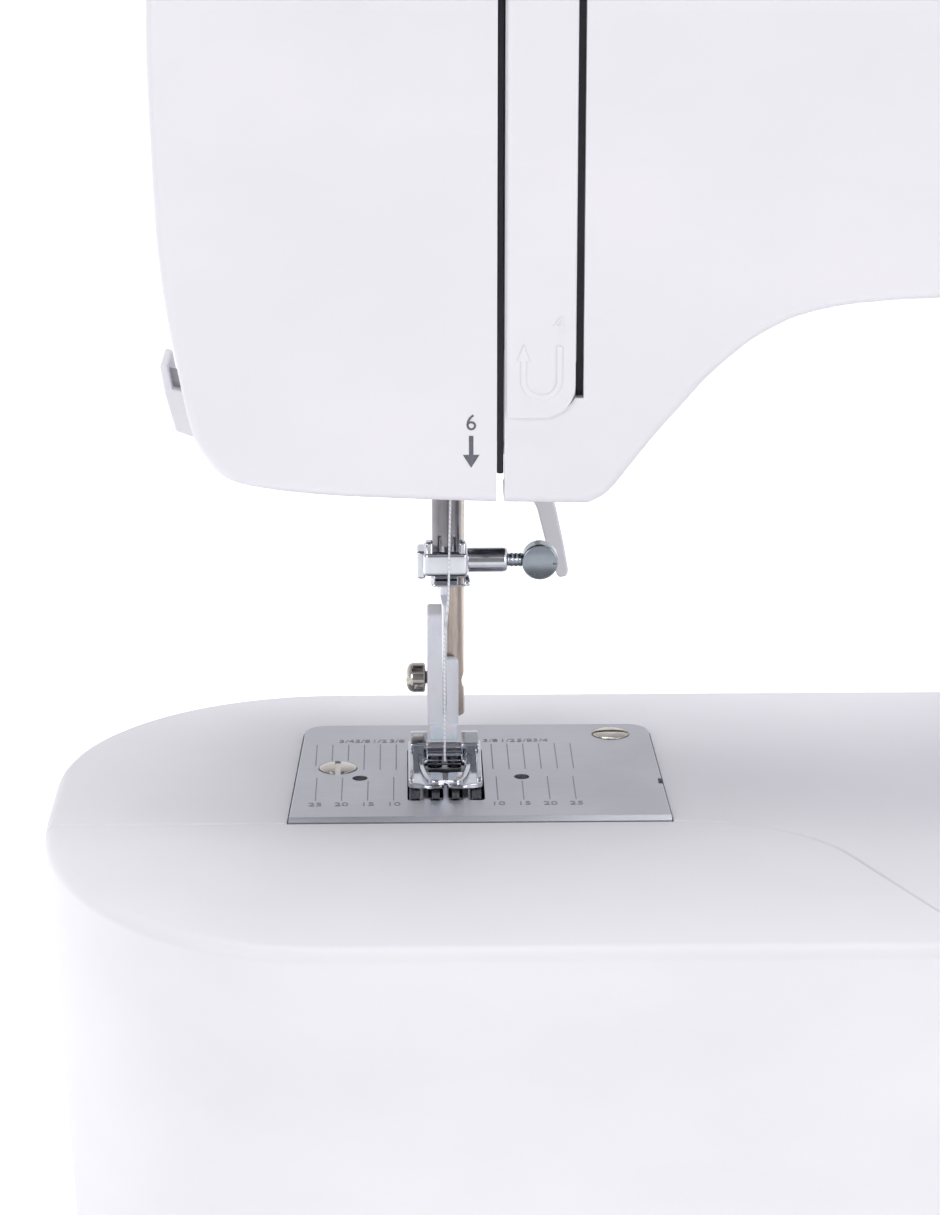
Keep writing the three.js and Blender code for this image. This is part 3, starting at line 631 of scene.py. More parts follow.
BODY_OUTLINE = (arc(-28, 180, 24, 24, 90, 195, 14) + HEAD_LEFT + UNDER_ARM + arc(135, 82.5, 20, 20, 78, 0, 10)
                + [(155, -12), (281, -12)] + arc(259, 182, 22, 22, 0, 90, 12))


def table_region(grow):
    return ([(-120, -140), (114.2 + grow, -140)] + arc(45, -59, 32 + grow, 32 + grow, 23, 90,
                                                       14) + [(-120, -27 + grow)])


def hole(axis, radius, low, high, centre, steps=32):
    return rod("hole", axis, radius, low, high, centre, edge=0, steps=steps)


# ---- bed ----------------------------------------------------------------------------------------
PLATE_SCREWS = ((-21, 2.5), (33.9, 22.5))
SHAFT_YZ = (0, 150)


def plate_outline(grow):
    return ([(-29.9 - grow, -26.6 - grow), (42.7 + grow, -26.6 - grow)]
            + arc(37.3, 24.2, 4.5 + grow, 4.5 + grow, 0, 90, 8) + arc(-23.6, 24.2, 4.5 + grow, 4.5 + grow, 90,
                                                                      180, 8))


def base():
    plinth = slab("base_plate", inset(BED_OUTLINE, 5.2), "xy", -84, -80.4, 1.0, 0.2)
    carve(plinth, [slab("cut", table_region(5), "xy", -100, 0, 0, 0)])
    dress(plinth, "machine", "grey_plastic", GREY_ABS, stands_for=("base_plate",), edge=0.2)
    for i, (x, y) in enumerate(((-52, 30), (-58, -14), (266, 36), (266, -72))):
        profile = [(0, -88), (5.6, -88), (6.4, -87.8), (7.1, -87.2), (7.8, -86), (8, -85), (8, -84.3),
                   (0, -84.3)]
        foot = lathe(f"foot_{i + 1}", profile, "z", (x, y, 0), 40)
        groove = lathe("groove", [(3.4, -89), (4.4, -89), (4.4, -87.4), (3.4, -87.4)], "z", (x, y, 0), 32)
        carve(foot, [groove])
        dress(foot, "machine", "rubber", RUBBER, stands_for=(f"foot_{i + 1}",), edge=0.15)


def bed():
    cover = slab("bed_cover", BED_OUTLINE, "xy", -80, 0, 1.2, 2.6, 5, draft=3.4)
    # The seam's back edge rolls down by about a millimetre.
    seam = [(0, -100), (0, -1.1), (-0.12, -0.55), (-0.45, -0.15), (-0.95, 0), (-0.95, 5)]
    cut = loft("cut", [[(u, v, z) for u, v in inset(table_region(0), d)] for d, z in seam])
    carve(cover, [cut, cube((-90, -30, -100), (94.5, 60, -56))])
    hollow = slab("hollow", inset(BED_OUTLINE, WALL), "xy", -100, -3, 0, 1, 3, draft=3.4)
    carve(hollow, [slab("cut", table_region(WALL), "xy", -120, 5, 0, 0),
                   cube((-90, -30, -120), (97, 60, -53.5))])
    cuts = [hollow, slab("seat", plate_outline(GAP), "xy", -1.5, 3, 0, 0), cube((-14, -18, -10), (14, 16, 1)),
            cube((-24, -28, -53.5), (24, -23.5, -6.6)), cube((160, -30, -5), (276, 43, 3)),
            cube((278, 20, -60), (290, 44, -36)), cube((278, 22.7, -30.5), (290, 39.3, -13.5))]
    cuts += [hole("z", 1.9, -10, 1, spot) for spot in PLATE_SCREWS]
    carve(cover, cuts)
    dress(cover, "machine", "bed_abs", PAINTED_SHADE_BED_ABS, stands_for=("bed_cover",), edge=0.22)

    door = block("bobbin_door", (-23.6, -27, -52.8), (23.6, -25, -7), 0.5, 3, "xz")
    grip = lathe("grip", [(0, -27.6), (7, -27.6), (6.6, -26.6), (0, -26.2)], "y", (0, 0, -16), 40)
    carve(door, [grip])
    dress(door, "bobbin_door", "bed_abs", PAINTED_SHADE_BED_ABS, stands_for=("bobbin_door",), edge=0.15)

    table = slab("extension_table", BED_OUTLINE, "xy", -84, 0, 1.5, 2.6, 5, draft=3.6)
    carve(table, [slab("keep", table_region(-GAP), "xy", -120, 20, 0, 0)], "INTERSECT")
    inner = slab("inner", inset(BED_OUTLINE, WALL), "xy", -81.5, -WALL, 1, 1, 3, draft=3.6)
    carve(inner, [slab("keep", table_region(-GAP - WALL), "xy", -120, 20, 0, 0)], "INTERSECT")
    # The doorway is cut first, so that the hollow is never a sealed space.
    carve(table, [cube((-66, -32, -56), (45, -26, -4)), inner])
    ribs = repeated("ribs", block("rib", (-30, -88.2, -81.7), (-28.8, -32, -70), 0.3), 4, PAINTED_SHADE_BED_ABS,
                    step=(22, 0, 0))
    carve(ribs, [slab("keep", inset(BED_OUTLINE, 4), "xy", -82, -60, 0, 0, draft=3)], "INTERSECT")
    dress(merged("extension_table", [table, ribs]), "extension_table", "bed_abs", PAINTED_SHADE_BED_ABS,
          stands_for=("extension_table",), edge=0.22)


# ---- needle plate and feed teeth -----------------------------------------------------------------
FEED_ROWS = ((-7, -4.6, ((-14.6, 11),)), (-3, -0.8, ((-14.6, -4), (4.2, 11))),
             (0.9, 3, ((-14.6, -4), (4.2, 11))),
             (4.7, 7.2, ((-14.6, 11),)))


def needle_plate():
    plate = slab("needle_plate", plate_outline(0), "xy", -1.2, 0.8, 0.1, 0.3, 3)
    cuts = []
    for x0, x1, runs in FEED_ROWS:
        for y0, y1 in runs:
            slot = rounded([(x0 - 0.35, y0 - 2.3, 0.9), (x1 + 0.35, y0 - 2.3, 0.9),
                            (x1 + 0.35, y1 + 2.3, 0.9),
                            (x0 - 0.35, y1 + 2.3, 0.9)], 4)
            cuts.append(slab("slot", slot, "xy", -3, 3, 0, 0))
    cuts.append(slab("needle_hole", rounded([(-3.3, -1.1, 1), (3.3, -1.1, 1), (3.3, 1.1, 1), (-3.3, 1.1, 1)],
                                            5), "xy",
                     -3, 3, 0, 0))
    cuts.append(cube((41.5, -8, -3), (44, -5, 3)))
    cuts += [lathe("sink", [(0, -2), (2, -2), (2, -0.9), (4.1, 0.9), (4.1, 2), (0, 2)], "z", (x, y, 0),
                   40) for x, y in PLATE_SCREWS]
    cuts += [hole("z", 1.5, -2, 2, spot) for spot in ((-16.6, -3.8), (15, -3.5))]
    lip = thing("lip", [(x, y, z) for x in (-40, 60) for y, z in ((-28, 0), (-26.59, 0), (-25.6, 0.81),
                                                                  (-28, 0.81))],
                [(0, 3, 2, 1), (4, 5, 6, 7), (0, 1, 5, 4), (1, 2, 6, 5), (2, 3, 7, 6), (3, 0, 4, 7)])
    carve(plate, cuts + [lip])
    dress(plate, "machine", "plate_steel", PLATE_STEEL, stands_for=("needle_plate",), edge=0.12)

    lines = []
    for side in (-1, 1):
        for low, high, first, pitch, count in ((1.2, 16.4, 9.525, 3.175, 6), (-16.6, -3.4, 10, 5, 4)):
            start = side * first
            line = block("line", (start - 0.11, low, 0.79), (start + 0.11, high, 0.83), 0.015, 1)
            lines.append(repeated("lines", line, count, GRAVING, step=(side * pitch, 0, 0)))
    marks = merged("plate_marks", lines)
    carve(marks, [hole("z", 2.3, -1, 2, spot) for spot in ((-16.6, -3.8), (15, -3.5))]
          + [hole("z", 4.6, -1, 2, spot) for spot in PLATE_SCREWS])
    dress(marks, "machine", "black_plastic", GRAVING)
    numbers = []
    for side in (-1, 1):
        numbers += [lettering("number", word, 2.5, side * x, 18.4, 0.83, "xy", 0.03)
                    for word, x in (("3/8", 9.4), ("1/2", 12.9), ("5/8", 16.3), ("3/4", 19.5))]
        numbers += [lettering("number", word, 2.8, side * x, -18.8, 0.83, "xy", 0.03)
                    for word, x in (("10", 10), ("15", 15), ("20", 20), ("25", 25))]
    dress(merged("plate_numbers", numbers), "machine", "black_plastic", GRAVING)

    for i, (x, y) in enumerate(PLATE_SCREWS):
        profile = [(0, -8), (1.5, -8), (1.5, -0.7), (3.5, 0.6), (3.66, 0.78), (3.6, 0.92), (2.8, 1.2),
                   (1.6, 1.32), (0, 1.35)]
        screw = lathe(f"plate_screw_{i + 1}", profile, "z", (x, y, 0), 48)
        half = (0.55, 5) if i == 0 else (5, 0.55)
        carve(screw, [cube((x - half[0], y - half[1], 0.55), (x + half[0], y + half[1], 3))])
        dress(screw, "machine", "nickel", NICKEL, stands_for=(f"plate_screw_{i + 1}",), edge=0.08)


def feed_teeth():
    parts = [block("frame", (-7.2, -15, -6), (7.4, 11.4, -3.6), 0.3)]
    carve(parts[0], [cube((-4, -3.2, -7), (4, 3.2, -3))])
    for x0, x1, runs in FEED_ROWS:
        for y0, y1 in runs:
            parts.append(block("row", (x0 + 0.3, y0 + 0.4, -4), (x1 - 0.3, y1, 0.3), 0.2))
            count = int((y1 - y0 - 0.9) / 1.1)
            wedge = [(y0 + 0.5, 0.2), (y0 + 1.5, 0.2), (y0 + 1.25, 1.08), (y0 + 1.1, 1.1)]
            tooth = slab("tooth", wedge, "yz", x0 + 0.35, x1 - 0.35, 0, 0, 1)
            parts.append(repeated("teeth", tooth, count, FEED_STEEL, step=(0, 1.1, 0)))
    dress(merged("feed_dog", parts), "feed", "feed_steel", FEED_STEEL, stands_for=("feed_dog",))


# ---- head, arm and pillar ------------------------------------------------------------------------
def face_zone():
    return cube((-60, -30, 76), (-42, 44.3, 178))


def covers():
    front = slab("front_cover", BODY_OUTLINE, "xz", -38, 5, 1.9, 0.15, 6)
    inner = slab("inner", inset(BODY_OUTLINE, WALL), "xz", -35.5, 8, 1, 0, 3)
    carve(inner, [cube((196.5, 5.5, 177.5), (272.5, 46.5, 210))])
    foot_line = cube((150, -50, -20), (290, 60, GAP))
    cuts = [inner, foot_line, face_zone(), cube((-38, -30, 58), (25, 12, 72)),
            cube((160, -32, -5), (276, 44, 4)), hole("x", 12, 276, 290, SHAFT_YZ, 48),
            cube((9, -45, 60), (10.4, -30, 190)), cube((9, -36, 60), (10.4, -12, 68)),
            cube((23.1, -45, 84.5), (24.5, -30, 210)), cube((23.1, -45, 193), (24.5, -18, 210)),
            corner_ramp(),
            cube((-18.6, -45, 157.5), (-9.4, -33, 186.5)), hole("y", 5.5, -45, -30, (218, 120)),
            hole("y", 5.5, -45, -30, (218, 68)), cube((205, -45, 14), (231, -30, 38)),
            cube((238, -22, 195), (258, -14, 210))]
    carve(front, cuts)
    dress(front, "machine", "white_abs", WHITE_ABS, stands_for=("front_cover",), edge=0.3, sharp=42)

    rear = slab("rear_cover", BODY_OUTLINE, "xz", 5.3, 48, 0.15, 5.5, 7)
    inner = slab("inner", inset(BODY_OUTLINE, WALL), "xz", 2, 45.5, 0, 3.2, 4)
    carve(inner, [cube((196.5, 5.5, 177.5), (272.5, 46.5, 210))])
    foot_line = cube((150, -50, -20), (290, 60, GAP))
    cuts = [inner, foot_line, face_zone(), cube((199, 8, 180), (270, 44, 210)),
            cube((-38, -5, 58), (25, 44, 72)),
            cube((160, -32, -5), (276, 44, 4)), hole("x", 12, 276, 290, SHAFT_YZ, 48),
            cube((2, 26.5, 60), (44, 33.5, 82))]
    cuts += [hole("y", 2, 40, 55, spot) for spot in ((-24, 150), (110, 150), (220, 40))]
    vent = slab("vent", rounded([(195, 70, 1), (240, 70, 1), (240, 72.2, 1), (195, 72.2, 1)], 3), "xz", 44,
                50, 0, 0)
    cuts.append(repeated("vents", vent, 7, WHITE_ABS, step=(0, 0, 5.5)))
    carve(rear, cuts)
    lugs = []
    for x0, x1 in ((55, 59.6), (190.4, 195)):
        shape = rounded([(28, 202, 0), (40, 202, 0), (40, 214, 5), (28, 214, 5)], 6)
        lugs.append(carve(slab("lug", shape, "yz", x0, x1, 0.4, 0.4, 2),
                          [hole("x", 2.3, 50, 200, (34, 209.5))]))
    dress(merged("rear_cover", [rear] + lugs), "machine", "white_abs", WHITE_ABS, stands_for=("rear_cover",),
          edge=0.3,
          sharp=42)

    skin = slab("face_cover", BODY_OUTLINE, "xz", -29.7, 44, 0, 0)
    carve(skin, [slab("inner", inset(BODY_OUTLINE, WALL), "xz", -32, 46, 0, 0)])
    carve(skin, [cube((-60, -29.7, 76.3), (-42, 44, 177.7))], "INTERSECT")
    carve(skin, [block("grip", (-55, -28, 119), (-50.9, -20, 131), 0.6, 2, "yz")])
    dress(skin, "face_cover", "white_abs", WHITE_ABS, stands_for=("face_cover",), edge=0.3)

    screws = []
    for x, z in ((-24, 150), (110, 150), (220, 40)):
        head = lathe("screw", [(0, 46.9), (3.1, 46.9), (3.1, 44.5), (1.7, 44.5), (1.7, 36), (0, 36)], "y",
                     (x, 0, z), 32)
        carve(head, [cube((x - 2.3, 46.1, z - 0.4), (x + 2.3, 48, z + 0.4)),
                     cube((x - 0.4, 46.1, z - 2.3), (x + 0.4, 48, z + 2.3))])
        screws.append(head)
    dress(merged("rear_screws", screws), "machine", "nickel", NICKEL, edge=0.1)


def corner_ramp():
    """A shallow recess that carries the right-hand slot round the strip's lower corner."""
    outline = [(23.4, 92), (24.5, 92)] + arc(16.1, 89.3, 8.4, 8.4, 0, -88, 16) + [(16.4, 84), (21, 86)]
    return slab("ramp", outline, "xz", -45, -36.5, 0, 0, 1)


def channel_cover():
    outline = rounded([(10.7, 81, 0.8), (23, 81, 6.8), (23, 190, 0.8), (10.7, 190, 0.8)], 8)
    plate = slab("thread_channel_cover", outline, "xz", -39.15, -38.3, 0.45, 0.1, 3)
    dress(plate, "machine", "white_abs", WHITE_ABS, stands_for=("thread_channel_cover",), edge=0)
    # A dark sheet of painted shadow inside the head, standing for the shaded channel wall that shows through
    # the two slots.
    liner = [block("liner", (9.1, -35.4, 70), (10.3, -34.6, 189.5), 0.2, 1, "xz"),
             block("liner", (23, -35.4, 83), (24.7, -34.6, 196), 0.2, 1, "xz")]
    dress(merged("channel_liner", liner), "machine", "black_plastic", SHADOW_ABS)


def direction_marks():
    """The moulded arrow that turns back on itself, its number, and the printed arrow and number beside it."""
    y = -39.15
    stroke = 0.95
    path = [(13.7, 91.8), (13.7, 88.1)] + arc(16.9, 88.1, 3.2, 3.2, 180, 360, 16)[1:] + [(20.1, 94.3)]
    outer, inner = [], []
    for i, here in enumerate(path):
        ahead = (Vector(path[min(i + 1, len(path) - 1)]) - Vector(path[max(i - 1, 0)])).normalized()
        side = Vector((-ahead.y, ahead.x)) * stroke / 2
        outer.append(tuple(Vector(here) - side))
        inner.append(tuple(Vector(here) + side))
    ribbon = slab("ribbon", outer + inner[::-1], "xz", y - 0.3, y + 0.1, 0.16, 0, 2)
    head = slab("head", [(12.5, 91.5), (14.9, 91.5), (13.7, 94.6)], "xz", y - 0.3, y + 0.1, 0.16, 0, 2)
    four = lettering("four", "4", 4.4, 20, y - 0.03, 98, "xz", 0.3)
    dress(merged("moulded_arrow", [ribbon, head, four]), "machine", "white_abs", WHITE_ABS)
    six = lettering("six", "6", 4.2, 4.4, -38.03, 80, "xz", 0.05)
    down = slab("down", [(4.0, 74.2), (2.9, 74.2), (4.4, 71.8), (5.9, 74.2), (4.8, 74.2), (4.8, 77.7),
                         (4.0, 77.7)], "xz",
                -38.05, -37.99, 0, 0, 1)
    dress(merged("printed_marks", [six, down]), "machine", "grey_plastic", INK)


def thread_cutter():
    shape = rounded([(-51.8, 88.9, 0.5), (-50.9, 83, 3), (-49.1, 76.3, 0.8), (-45.1, 74.9, 0.5),
                     (-46.4, 79, 1.5),
                     (-47.4, 83.7, 0.3), (-49.5, 84.2, 0.3), (-50.3, 88.6, 0.4)], 4)
    hook = slab("thread_cutter", shape, "xz", -28, -14, 0.4, 0.4, 3)
    dress(hook, "face_cover", "white_abs", WHITE_ABS, stands_for=("thread_cutter",), edge=0.12)
    blade = slab("cutter_blade", [(-49.6, 84), (-47.6, 83.5), (-48.3, 87.3), (-50.3, 87.8)], "xz", -25.45,
                 -25.15, 0.05, 0.05, 1)
    dress(blade, "face_cover", "steel", GROUND_STEEL)


# ---- needle bar, clamp and needle ----------------------------------------------------------------
def needle_group():
    bar = rod("needle_bar", "z", 2.9, 43.4, 186, (0.5, 0), 0.4, 48)
    dress(bar, "needle_bar", "chrome", HARD_STEEL, stands_for=("needle_bar",))

    body = block("needle_clamp", (-4.1, -5.5, 42), (4.6, 3.9, 46.8), 0.9, 4)
    lugs = [block("lug", (-3.7, -5.2, 45.6), (-2.2, -2.6, 48.8), 0.45, 3),
            block("lug", (2.7, -5.2, 45.6), (4.1, -2.6, 48.8), 0.45, 3),
            block("lug", (-5.3, -3, 40.9), (-3.6, 3, 46.4), 0.5, 3),
            block("neck", (-2, -3, 40.8), (2.6, 1.5, 42.3), 0.2)]
    stem = lathe("stem", [(0, 4), (2.4, 4), (2.4, 11.2), (2.28, 11.8), (1.95, 12.2), (1.5, 12.3), (0, 12.3)],
                 "x", (0, 0, 43.9), 48)
    guide = slab("guide", rounded([(-2.6, -6, 0.8), (4.9, -6, 1.2), (4.9, 1.5, 0.8), (-2.6, 1.5, 0.8)], 4),
                 "xy", 40.2, 40.7,
                 0.2, 0.2, 2)
    lip = block("lip", (3.7, -5.9, 40.3), (4.9, -0.6, 41.2), 0.3)
    clamp = add(body, *lugs, stem, guide, lip)
    carve(clamp, [hole("z", 2.95, 43.1, 60, (0.5, 0)), hole("z", 1.05, 36, 43, (0, 0)),
                  hole("x", 1.6, 9, 14, (0, 43.9)),
                  hole("z", 0.4, 37, 41.6, (0.75, -5.3), 20)])
    dress(clamp, "needle_bar", "chrome", CHROME, stands_for=("needle_clamp",), edge=0.12)

    ridges = [(0, 9.2)]
    for k in range(7):
        x = 9.3 + k * 0.85
        ridges += [(1.22, x), (1.44, x + 0.3), (1.22, x + 0.62)]
    bit = lathe("needle_clamp_screw", ridges + [(1.22, 15.5), (0, 15.5)], "x", (0, 0, 43.9), 32)
    coin = lathe("coin", [(0, -2.1), (3.0, -2.12), (3.2, -2.2), (3.38, -2.12), (3.48, -1.95), (3.5, -1.7),
                          (3.5, 1.3),
                          (3.45, 1.6), (3.2, 1.8), (0, 1.8)], "y", (18.4, 0, 43.9), 72)
    screw = add(bit, coin)
    carve(screw, [cube((20.9, -3, 43.5), (24, 3, 44.3))])
    dress(screw, "needle_clamp_screw", "nickel", BRIGHT_STEEL, stands_for=("needle_clamp_screw",), edge=0.08)

    profile = [(0, 11), (0.1, 11.35), (0.2, 12.1), (0.36, 13.4), (0.45, 15.5), (0.45, 34.6), (0.55, 35.4),
               (0.95, 36.9),
               (1, 37.4), (1, 42.3), (0.7, 42.6), (0, 42.6)]
    needle = lathe("needle", profile, "z", (0, 0, 0), 32)
    scarf = block("scarf", (-0.5, 0.28, 14), (0.5, 0.8, 17.6), 0.15, 2)
    groove = cube((-0.12, -0.6, 14.4), (0.12, -0.33, 34))
    carve(needle, [slab("eye", rounded([(-0.16, 13.2, 0.15), (0.16, 13.2, 0.15), (0.16, 14.4, 0.15),
                                        (-0.16, 14.4, 0.15)], 4),
                        "xz", -2, 2, 0, 0), scarf, groove])
    dress(needle, "needle_bar", "chrome", CHROME, stands_for=("needle",))


# ---- presser bar, ankle and foot -----------------------------------------------------------------
def presser_group():
    x, y = 1.1, 10
    bar = rod("presser_bar", "z", 2.95, 9.6, 186, (x, y), 0.3, 48)
    flat = slab("flat", [(-3, 5), (-0.1, 5), (-0.1, 33), (-3, 41.6)], "xz", 5, 15, 0, 0, 1)
    waist = hole("y", 2.4, 5, 15, (5.85, 16.6), 40)
    carve(bar, [flat, waist])
    dress(bar, "presser_bar", "nickel", DULL_NICKEL, stands_for=("presser_bar",), edge=0.1)

    side = slab("ankle", rounded([(4.6, 8.6, 0.6), (13.2, 8.6, 2), (13.2, 31.7, 2), (4.6, 31.7, 1.2)], 4),
                "yz", -3.3, -0.4, 0.45, 0.1, 3)
    face = slab("face", rounded([(-3.3, 8.6, 0.5), (2.8, 8.6, 0.9), (2.8, 22.4, 1), (-0.4, 22.4, 0),
                                 (-0.4, 24, 0), (-3.3, 24, 0)], 4),
                "xz", 4.6, 6.6, 0.45, 0.2, 3)
    toe = block("toe", (-2.9, 3.9, 5.7), (2.6, 7.4, 9), 0.5, 3)
    ankle = add(side, face, toe)
    carve(ankle, [hole("x", 1.5, -5, 1, (10, 17)), hole("x", 1.15, -4, 4, (5.2, 5.9))])
    dress(ankle, "presser_bar", "clear_plastic", NYLON, stands_for=("ankle",), edge=0.2)

    profile = [(0, -7.5), (1.2, -7.45), (2.1, -7.2), (2.7, -6.75), (2.95, -6.1), (2.95, -4), (2.75, -3.75),
               (1.25, -3.6), (1.25, -0.5), (0, -0.5)]
    screw = lathe("presser_screw", profile, "x", (0, y, 17), 48)
    carve(screw, [cube((-9, y - 4, 16.5), (-6.4, y + 4, 17.5))])
    dress(screw, "presser_screw", "nickel", NICKEL, stands_for=("presser_screw",), edge=0.1)

    outline = rounded([(4.6, 73, 1.2), (11, 60, 8), (18.9, 46.8, 6), (20.8, 39.3, 6), (23.3, 32, 0.9),
                       (25.2, 32.4, 0.9),
                       (25.4, 33.8, 0.9), (24.4, 39.3, 6), (22.8, 46.7, 8), (21.1, 52, 8), (13.5, 71, 2),
                       (9, 68.5, 2)], 5)
    blade = slab("presser_lifter", outline, "xz", 28, 32, 0.5, 0.5, 3)
    hub = rod("hub", "y", 5.5, 28, 32, (9, 74), 0.5, 48)
    pin = rod("pin", "y", 2.4, 31, 35.6, (9, 74), 0.3, 32)
    dress(add(blade, hub, pin), "presser_lifter", "white_abs", WHITE_ABS, stands_for=("presser_lifter",),
          edge=0.15)


def presser_foot():
    """A clip-on foot: two toes with upturned tips, low side walls, and a cross pin between two blocks."""
    half = [(7.2, 9), (7.2, -10.6), (6.9, -11.6), (6.2, -12.2), (5.2, -12.6), (4.2, -13.4), (3.2, -13.8),
            (1.2, -14),
            (0.7, -13.6), (0.35, -12.6), (0.35, -6.6), (0.7, -5.9), (3.3, -5.7), (3.9, -5.2), (3.9, 0.6),
            (3.2, 1.5)]
    outline = anticlockwise(half + [(-x, y) for x, y in half][::-1])
    sole = slab("presser_foot", outline, "xy", 1.5, 2.7, 0.12, 0.3, 3)
    carve(sole, [slab("toe", [(-15, 1), (-11, 1.4), (-14.5, 2.2), (-15, 2.2)], "yz", -9, 9, 0, 0, 1),
                 slab("heel", [(4.5, 1), (10, 1), (10, 2.5), (9.2, 2.55), (4.5, 1.5)], "yz", -9, 9, 0, 0, 1)])
    more = []
    for side in (-1, 1):
        x0, x1 = sorted((side * 3.35, side * 6.7))
        ear = slab("ear", rounded([(2, 2.3, 0.1), (7.2, 2.3, 0.1), (7.2, 6.9, 0.5), (5.8, 6.9, 0.6),
                                   (2, 5.8, 0.5)], 4),
                   "yz", x0, x1, 0.2, 0.2, 2)
        more.append(ear)
        x0, x1 = sorted((side * 6.05, side * 7.12))
        more.append(slab("wall", rounded([(-11.2, 2.4, 0.3), (7.4, 2.4, 0.3), (7.4, 4.9, 0.8), (1, 4.6, 3),
                                          (-8, 3.8, 3),
                                          (-11.2, 3.3, 0.4)], 4), "yz", x0, x1, 0.3, 0.3, 3))
        path = [(side * x, y) for x, y in ((5.3, 1.8), (5.2, -2), (4.9, -6), (4.2, -10), (3.1, -12.6),
                                           (1.9, -13.3), (0.8, -13))]
        rail = [curved(path, 4), curved([(x - side * 1.15, y + 0.5 * (i > 3)) for i,
                                         (x, y) in enumerate(path)], 4)]
        more.append(slab("rail", rail[0] + rail[1][::-1], "xy", 2.4, 3.6, 0.1, 0.35, 3))
    more.append(rod("pin", "x", 0.9, -4, 4, (4.5, 4.4), 0.1, 32))
    more.append(block("bridge", (-3.6, 1.6, 2.25), (3.6, 2.9, 3.7), 0.3, 3))
    more.append(block("bridge", (-3.6, 6.2, 2.3), (3.6, 7.4, 3.4), 0.3, 3))
    foot = add(sole, *more)
    dress(foot, "presser_foot", "chrome", CHROME, stands_for=("presser_foot",), edge=0.1)


# ---- threads, lamp and take-up -------------------------------------------------------------------
def threads():
    needle = tube("needle_thread", [(1.5, -7, 118), (1.2, -7, 66), (0.9, -6.4, 48), (0.7, -6.4, 38),
                                    (0.35, -3.4, 32.6), (0.08, -0.95, 29.6), (0.02, -0.82, 26),
                                    (0, -0.8, 14.4), (0, -0.8, 3.2)], 0.2)
    dress(needle, "needle_bar", "thread", THREAD, stands_for=("needle_thread",))
    top = 208.2
    upper = tube("upper_thread", [(203, 14.2, 196), (200, 4, top), (196.5, -19.4, top), (120, -19.4, top),
                                  (31, -19.4, top),
                                  (24.2, -21, 206.6), (23.65, -27, 203), (23.65, -33, 195), (23.65, -34, 120),
                                  (23.65, -34, 80), (21.5, -34, 73.5), (16.7, -34, 71), (11.8, -34, 73.5),
                                  (9.7, -34, 80),
                                  (9.7, -34, 112)], 0.25)
    dress(upper, "machine", "thread", THREAD, stands_for=("upper_thread",))


def take_up():
    arm = slab("take_up_lever", rounded([(24, 131, 2), (27.5, 135, 3.5), (24, 139.4, 2), (-22.6, 167, 1),
                                         (-24, 163.3, 1)], 5), "yz",
               9.3, 10.1, 0.15, 0.15, 2)
    eye = rod("eye", "x", 3, 9.3, 10.1, (-25, 165.5), 0.15, 40)
    stud = rod("stud", "x", 2.5, 9.35, 31, (24, 135), 0.2, 32)
    lever = add(arm, eye, stud)
    carve(lever, [hole("x", 1.6, 8, 12, (-25, 165.5))])
    dress(lever, "take_up", "chrome", CHROME, stands_for=("take_up_lever",), edge=0.1)


def lamp():
    tray = block("lamp", (-34, 14, 79.6), (-16, 34, 84), 0.8, 3)
    board = block("board", (-33, 15, 79), (-17, 33, 80), 0.3)
    chip = repeated("chips", block("chip", (-31.5, 18, 78.6), (-28.5, 21, 79.2), 0.2), 3, NYLON,
                    step=(5, 0, 0))
    dress(tray, "machine", "grey_plastic", GREY_ABS)
    dress(merged("lamp_window", [board, chip]), "machine", "clear_plastic", NYLON)


# ---- controls ------------------------------------------------------------------------------------
def dial(name, body, radius, depth, x, z, numbers):
    front = -38.3
    profile = [(0, front), (radius, front), (radius, front - depth * 0.4 + 0.6),
               (radius - 0.6, front - depth * 0.4),
               (radius * 0.82, front - depth * 0.4), (radius * 0.8 - 0.5, front - depth * 0.4 - 0.5),
               (radius * 0.8 - 0.5, front - depth + 1.2), (radius * 0.8 - 1.6, front - depth),
               (0, front - depth)]
    knob = lathe(name, profile, "y", (x, 0, z), 96)
    rib = block("rib", (x - 0.55, front - depth + 0.9, z + radius * 0.8 - 1.2),
                (x + 0.55, front - depth * 0.4 + 0.1, z + radius * 0.8 - 0.1), 0.25)
    ribs = repeated("ribs", rib, 36, GREY_ABS, about=(x, 0, z), turn=(0, 10, 0))
    grip = slab("grip", rounded([(x - 2.2, z - radius * 0.75, 2.1), (x + 2.2, z - radius * 0.75, 2.1),
                                 (x + 2.2, z + radius * 0.75, 2.1), (x - 2.2, z + radius * 0.75, 2.1)], 6),
                                 "xz",
                front - depth - 2.5, front - depth + 1, 0.9, 0, 4)
    stem = rod("stem", "y", 5, front - 1, -30, (x, z), 0.2, 40)
    dress(merged(name, [add(knob, grip, stem), ribs]), body, "grey_plastic", GREY_ABS, stands_for=(name,),
          edge=0.15)
    marks = []
    for k, word in enumerate(numbers):
        turn = math.radians(60 - 300 * k / (len(numbers) - 1) + 90)
        reach = radius * 0.9
        marks.append(lettering("number", word, radius * 0.13, x + reach * math.cos(turn),
                               front - depth * 0.4 - 0.02,
                               z + reach * math.sin(turn), "xz", 0.05))
    pointer = block("pointer", (x - 0.4, front - depth - 2.55, z + radius * 0.35),
                    (x + 0.4, front - depth - 2.45, z + radius * 0.68), 0.04, 1, "xz")
    dress(merged(name + "_marks", marks + [pointer]), body, "grey_plastic", INK)


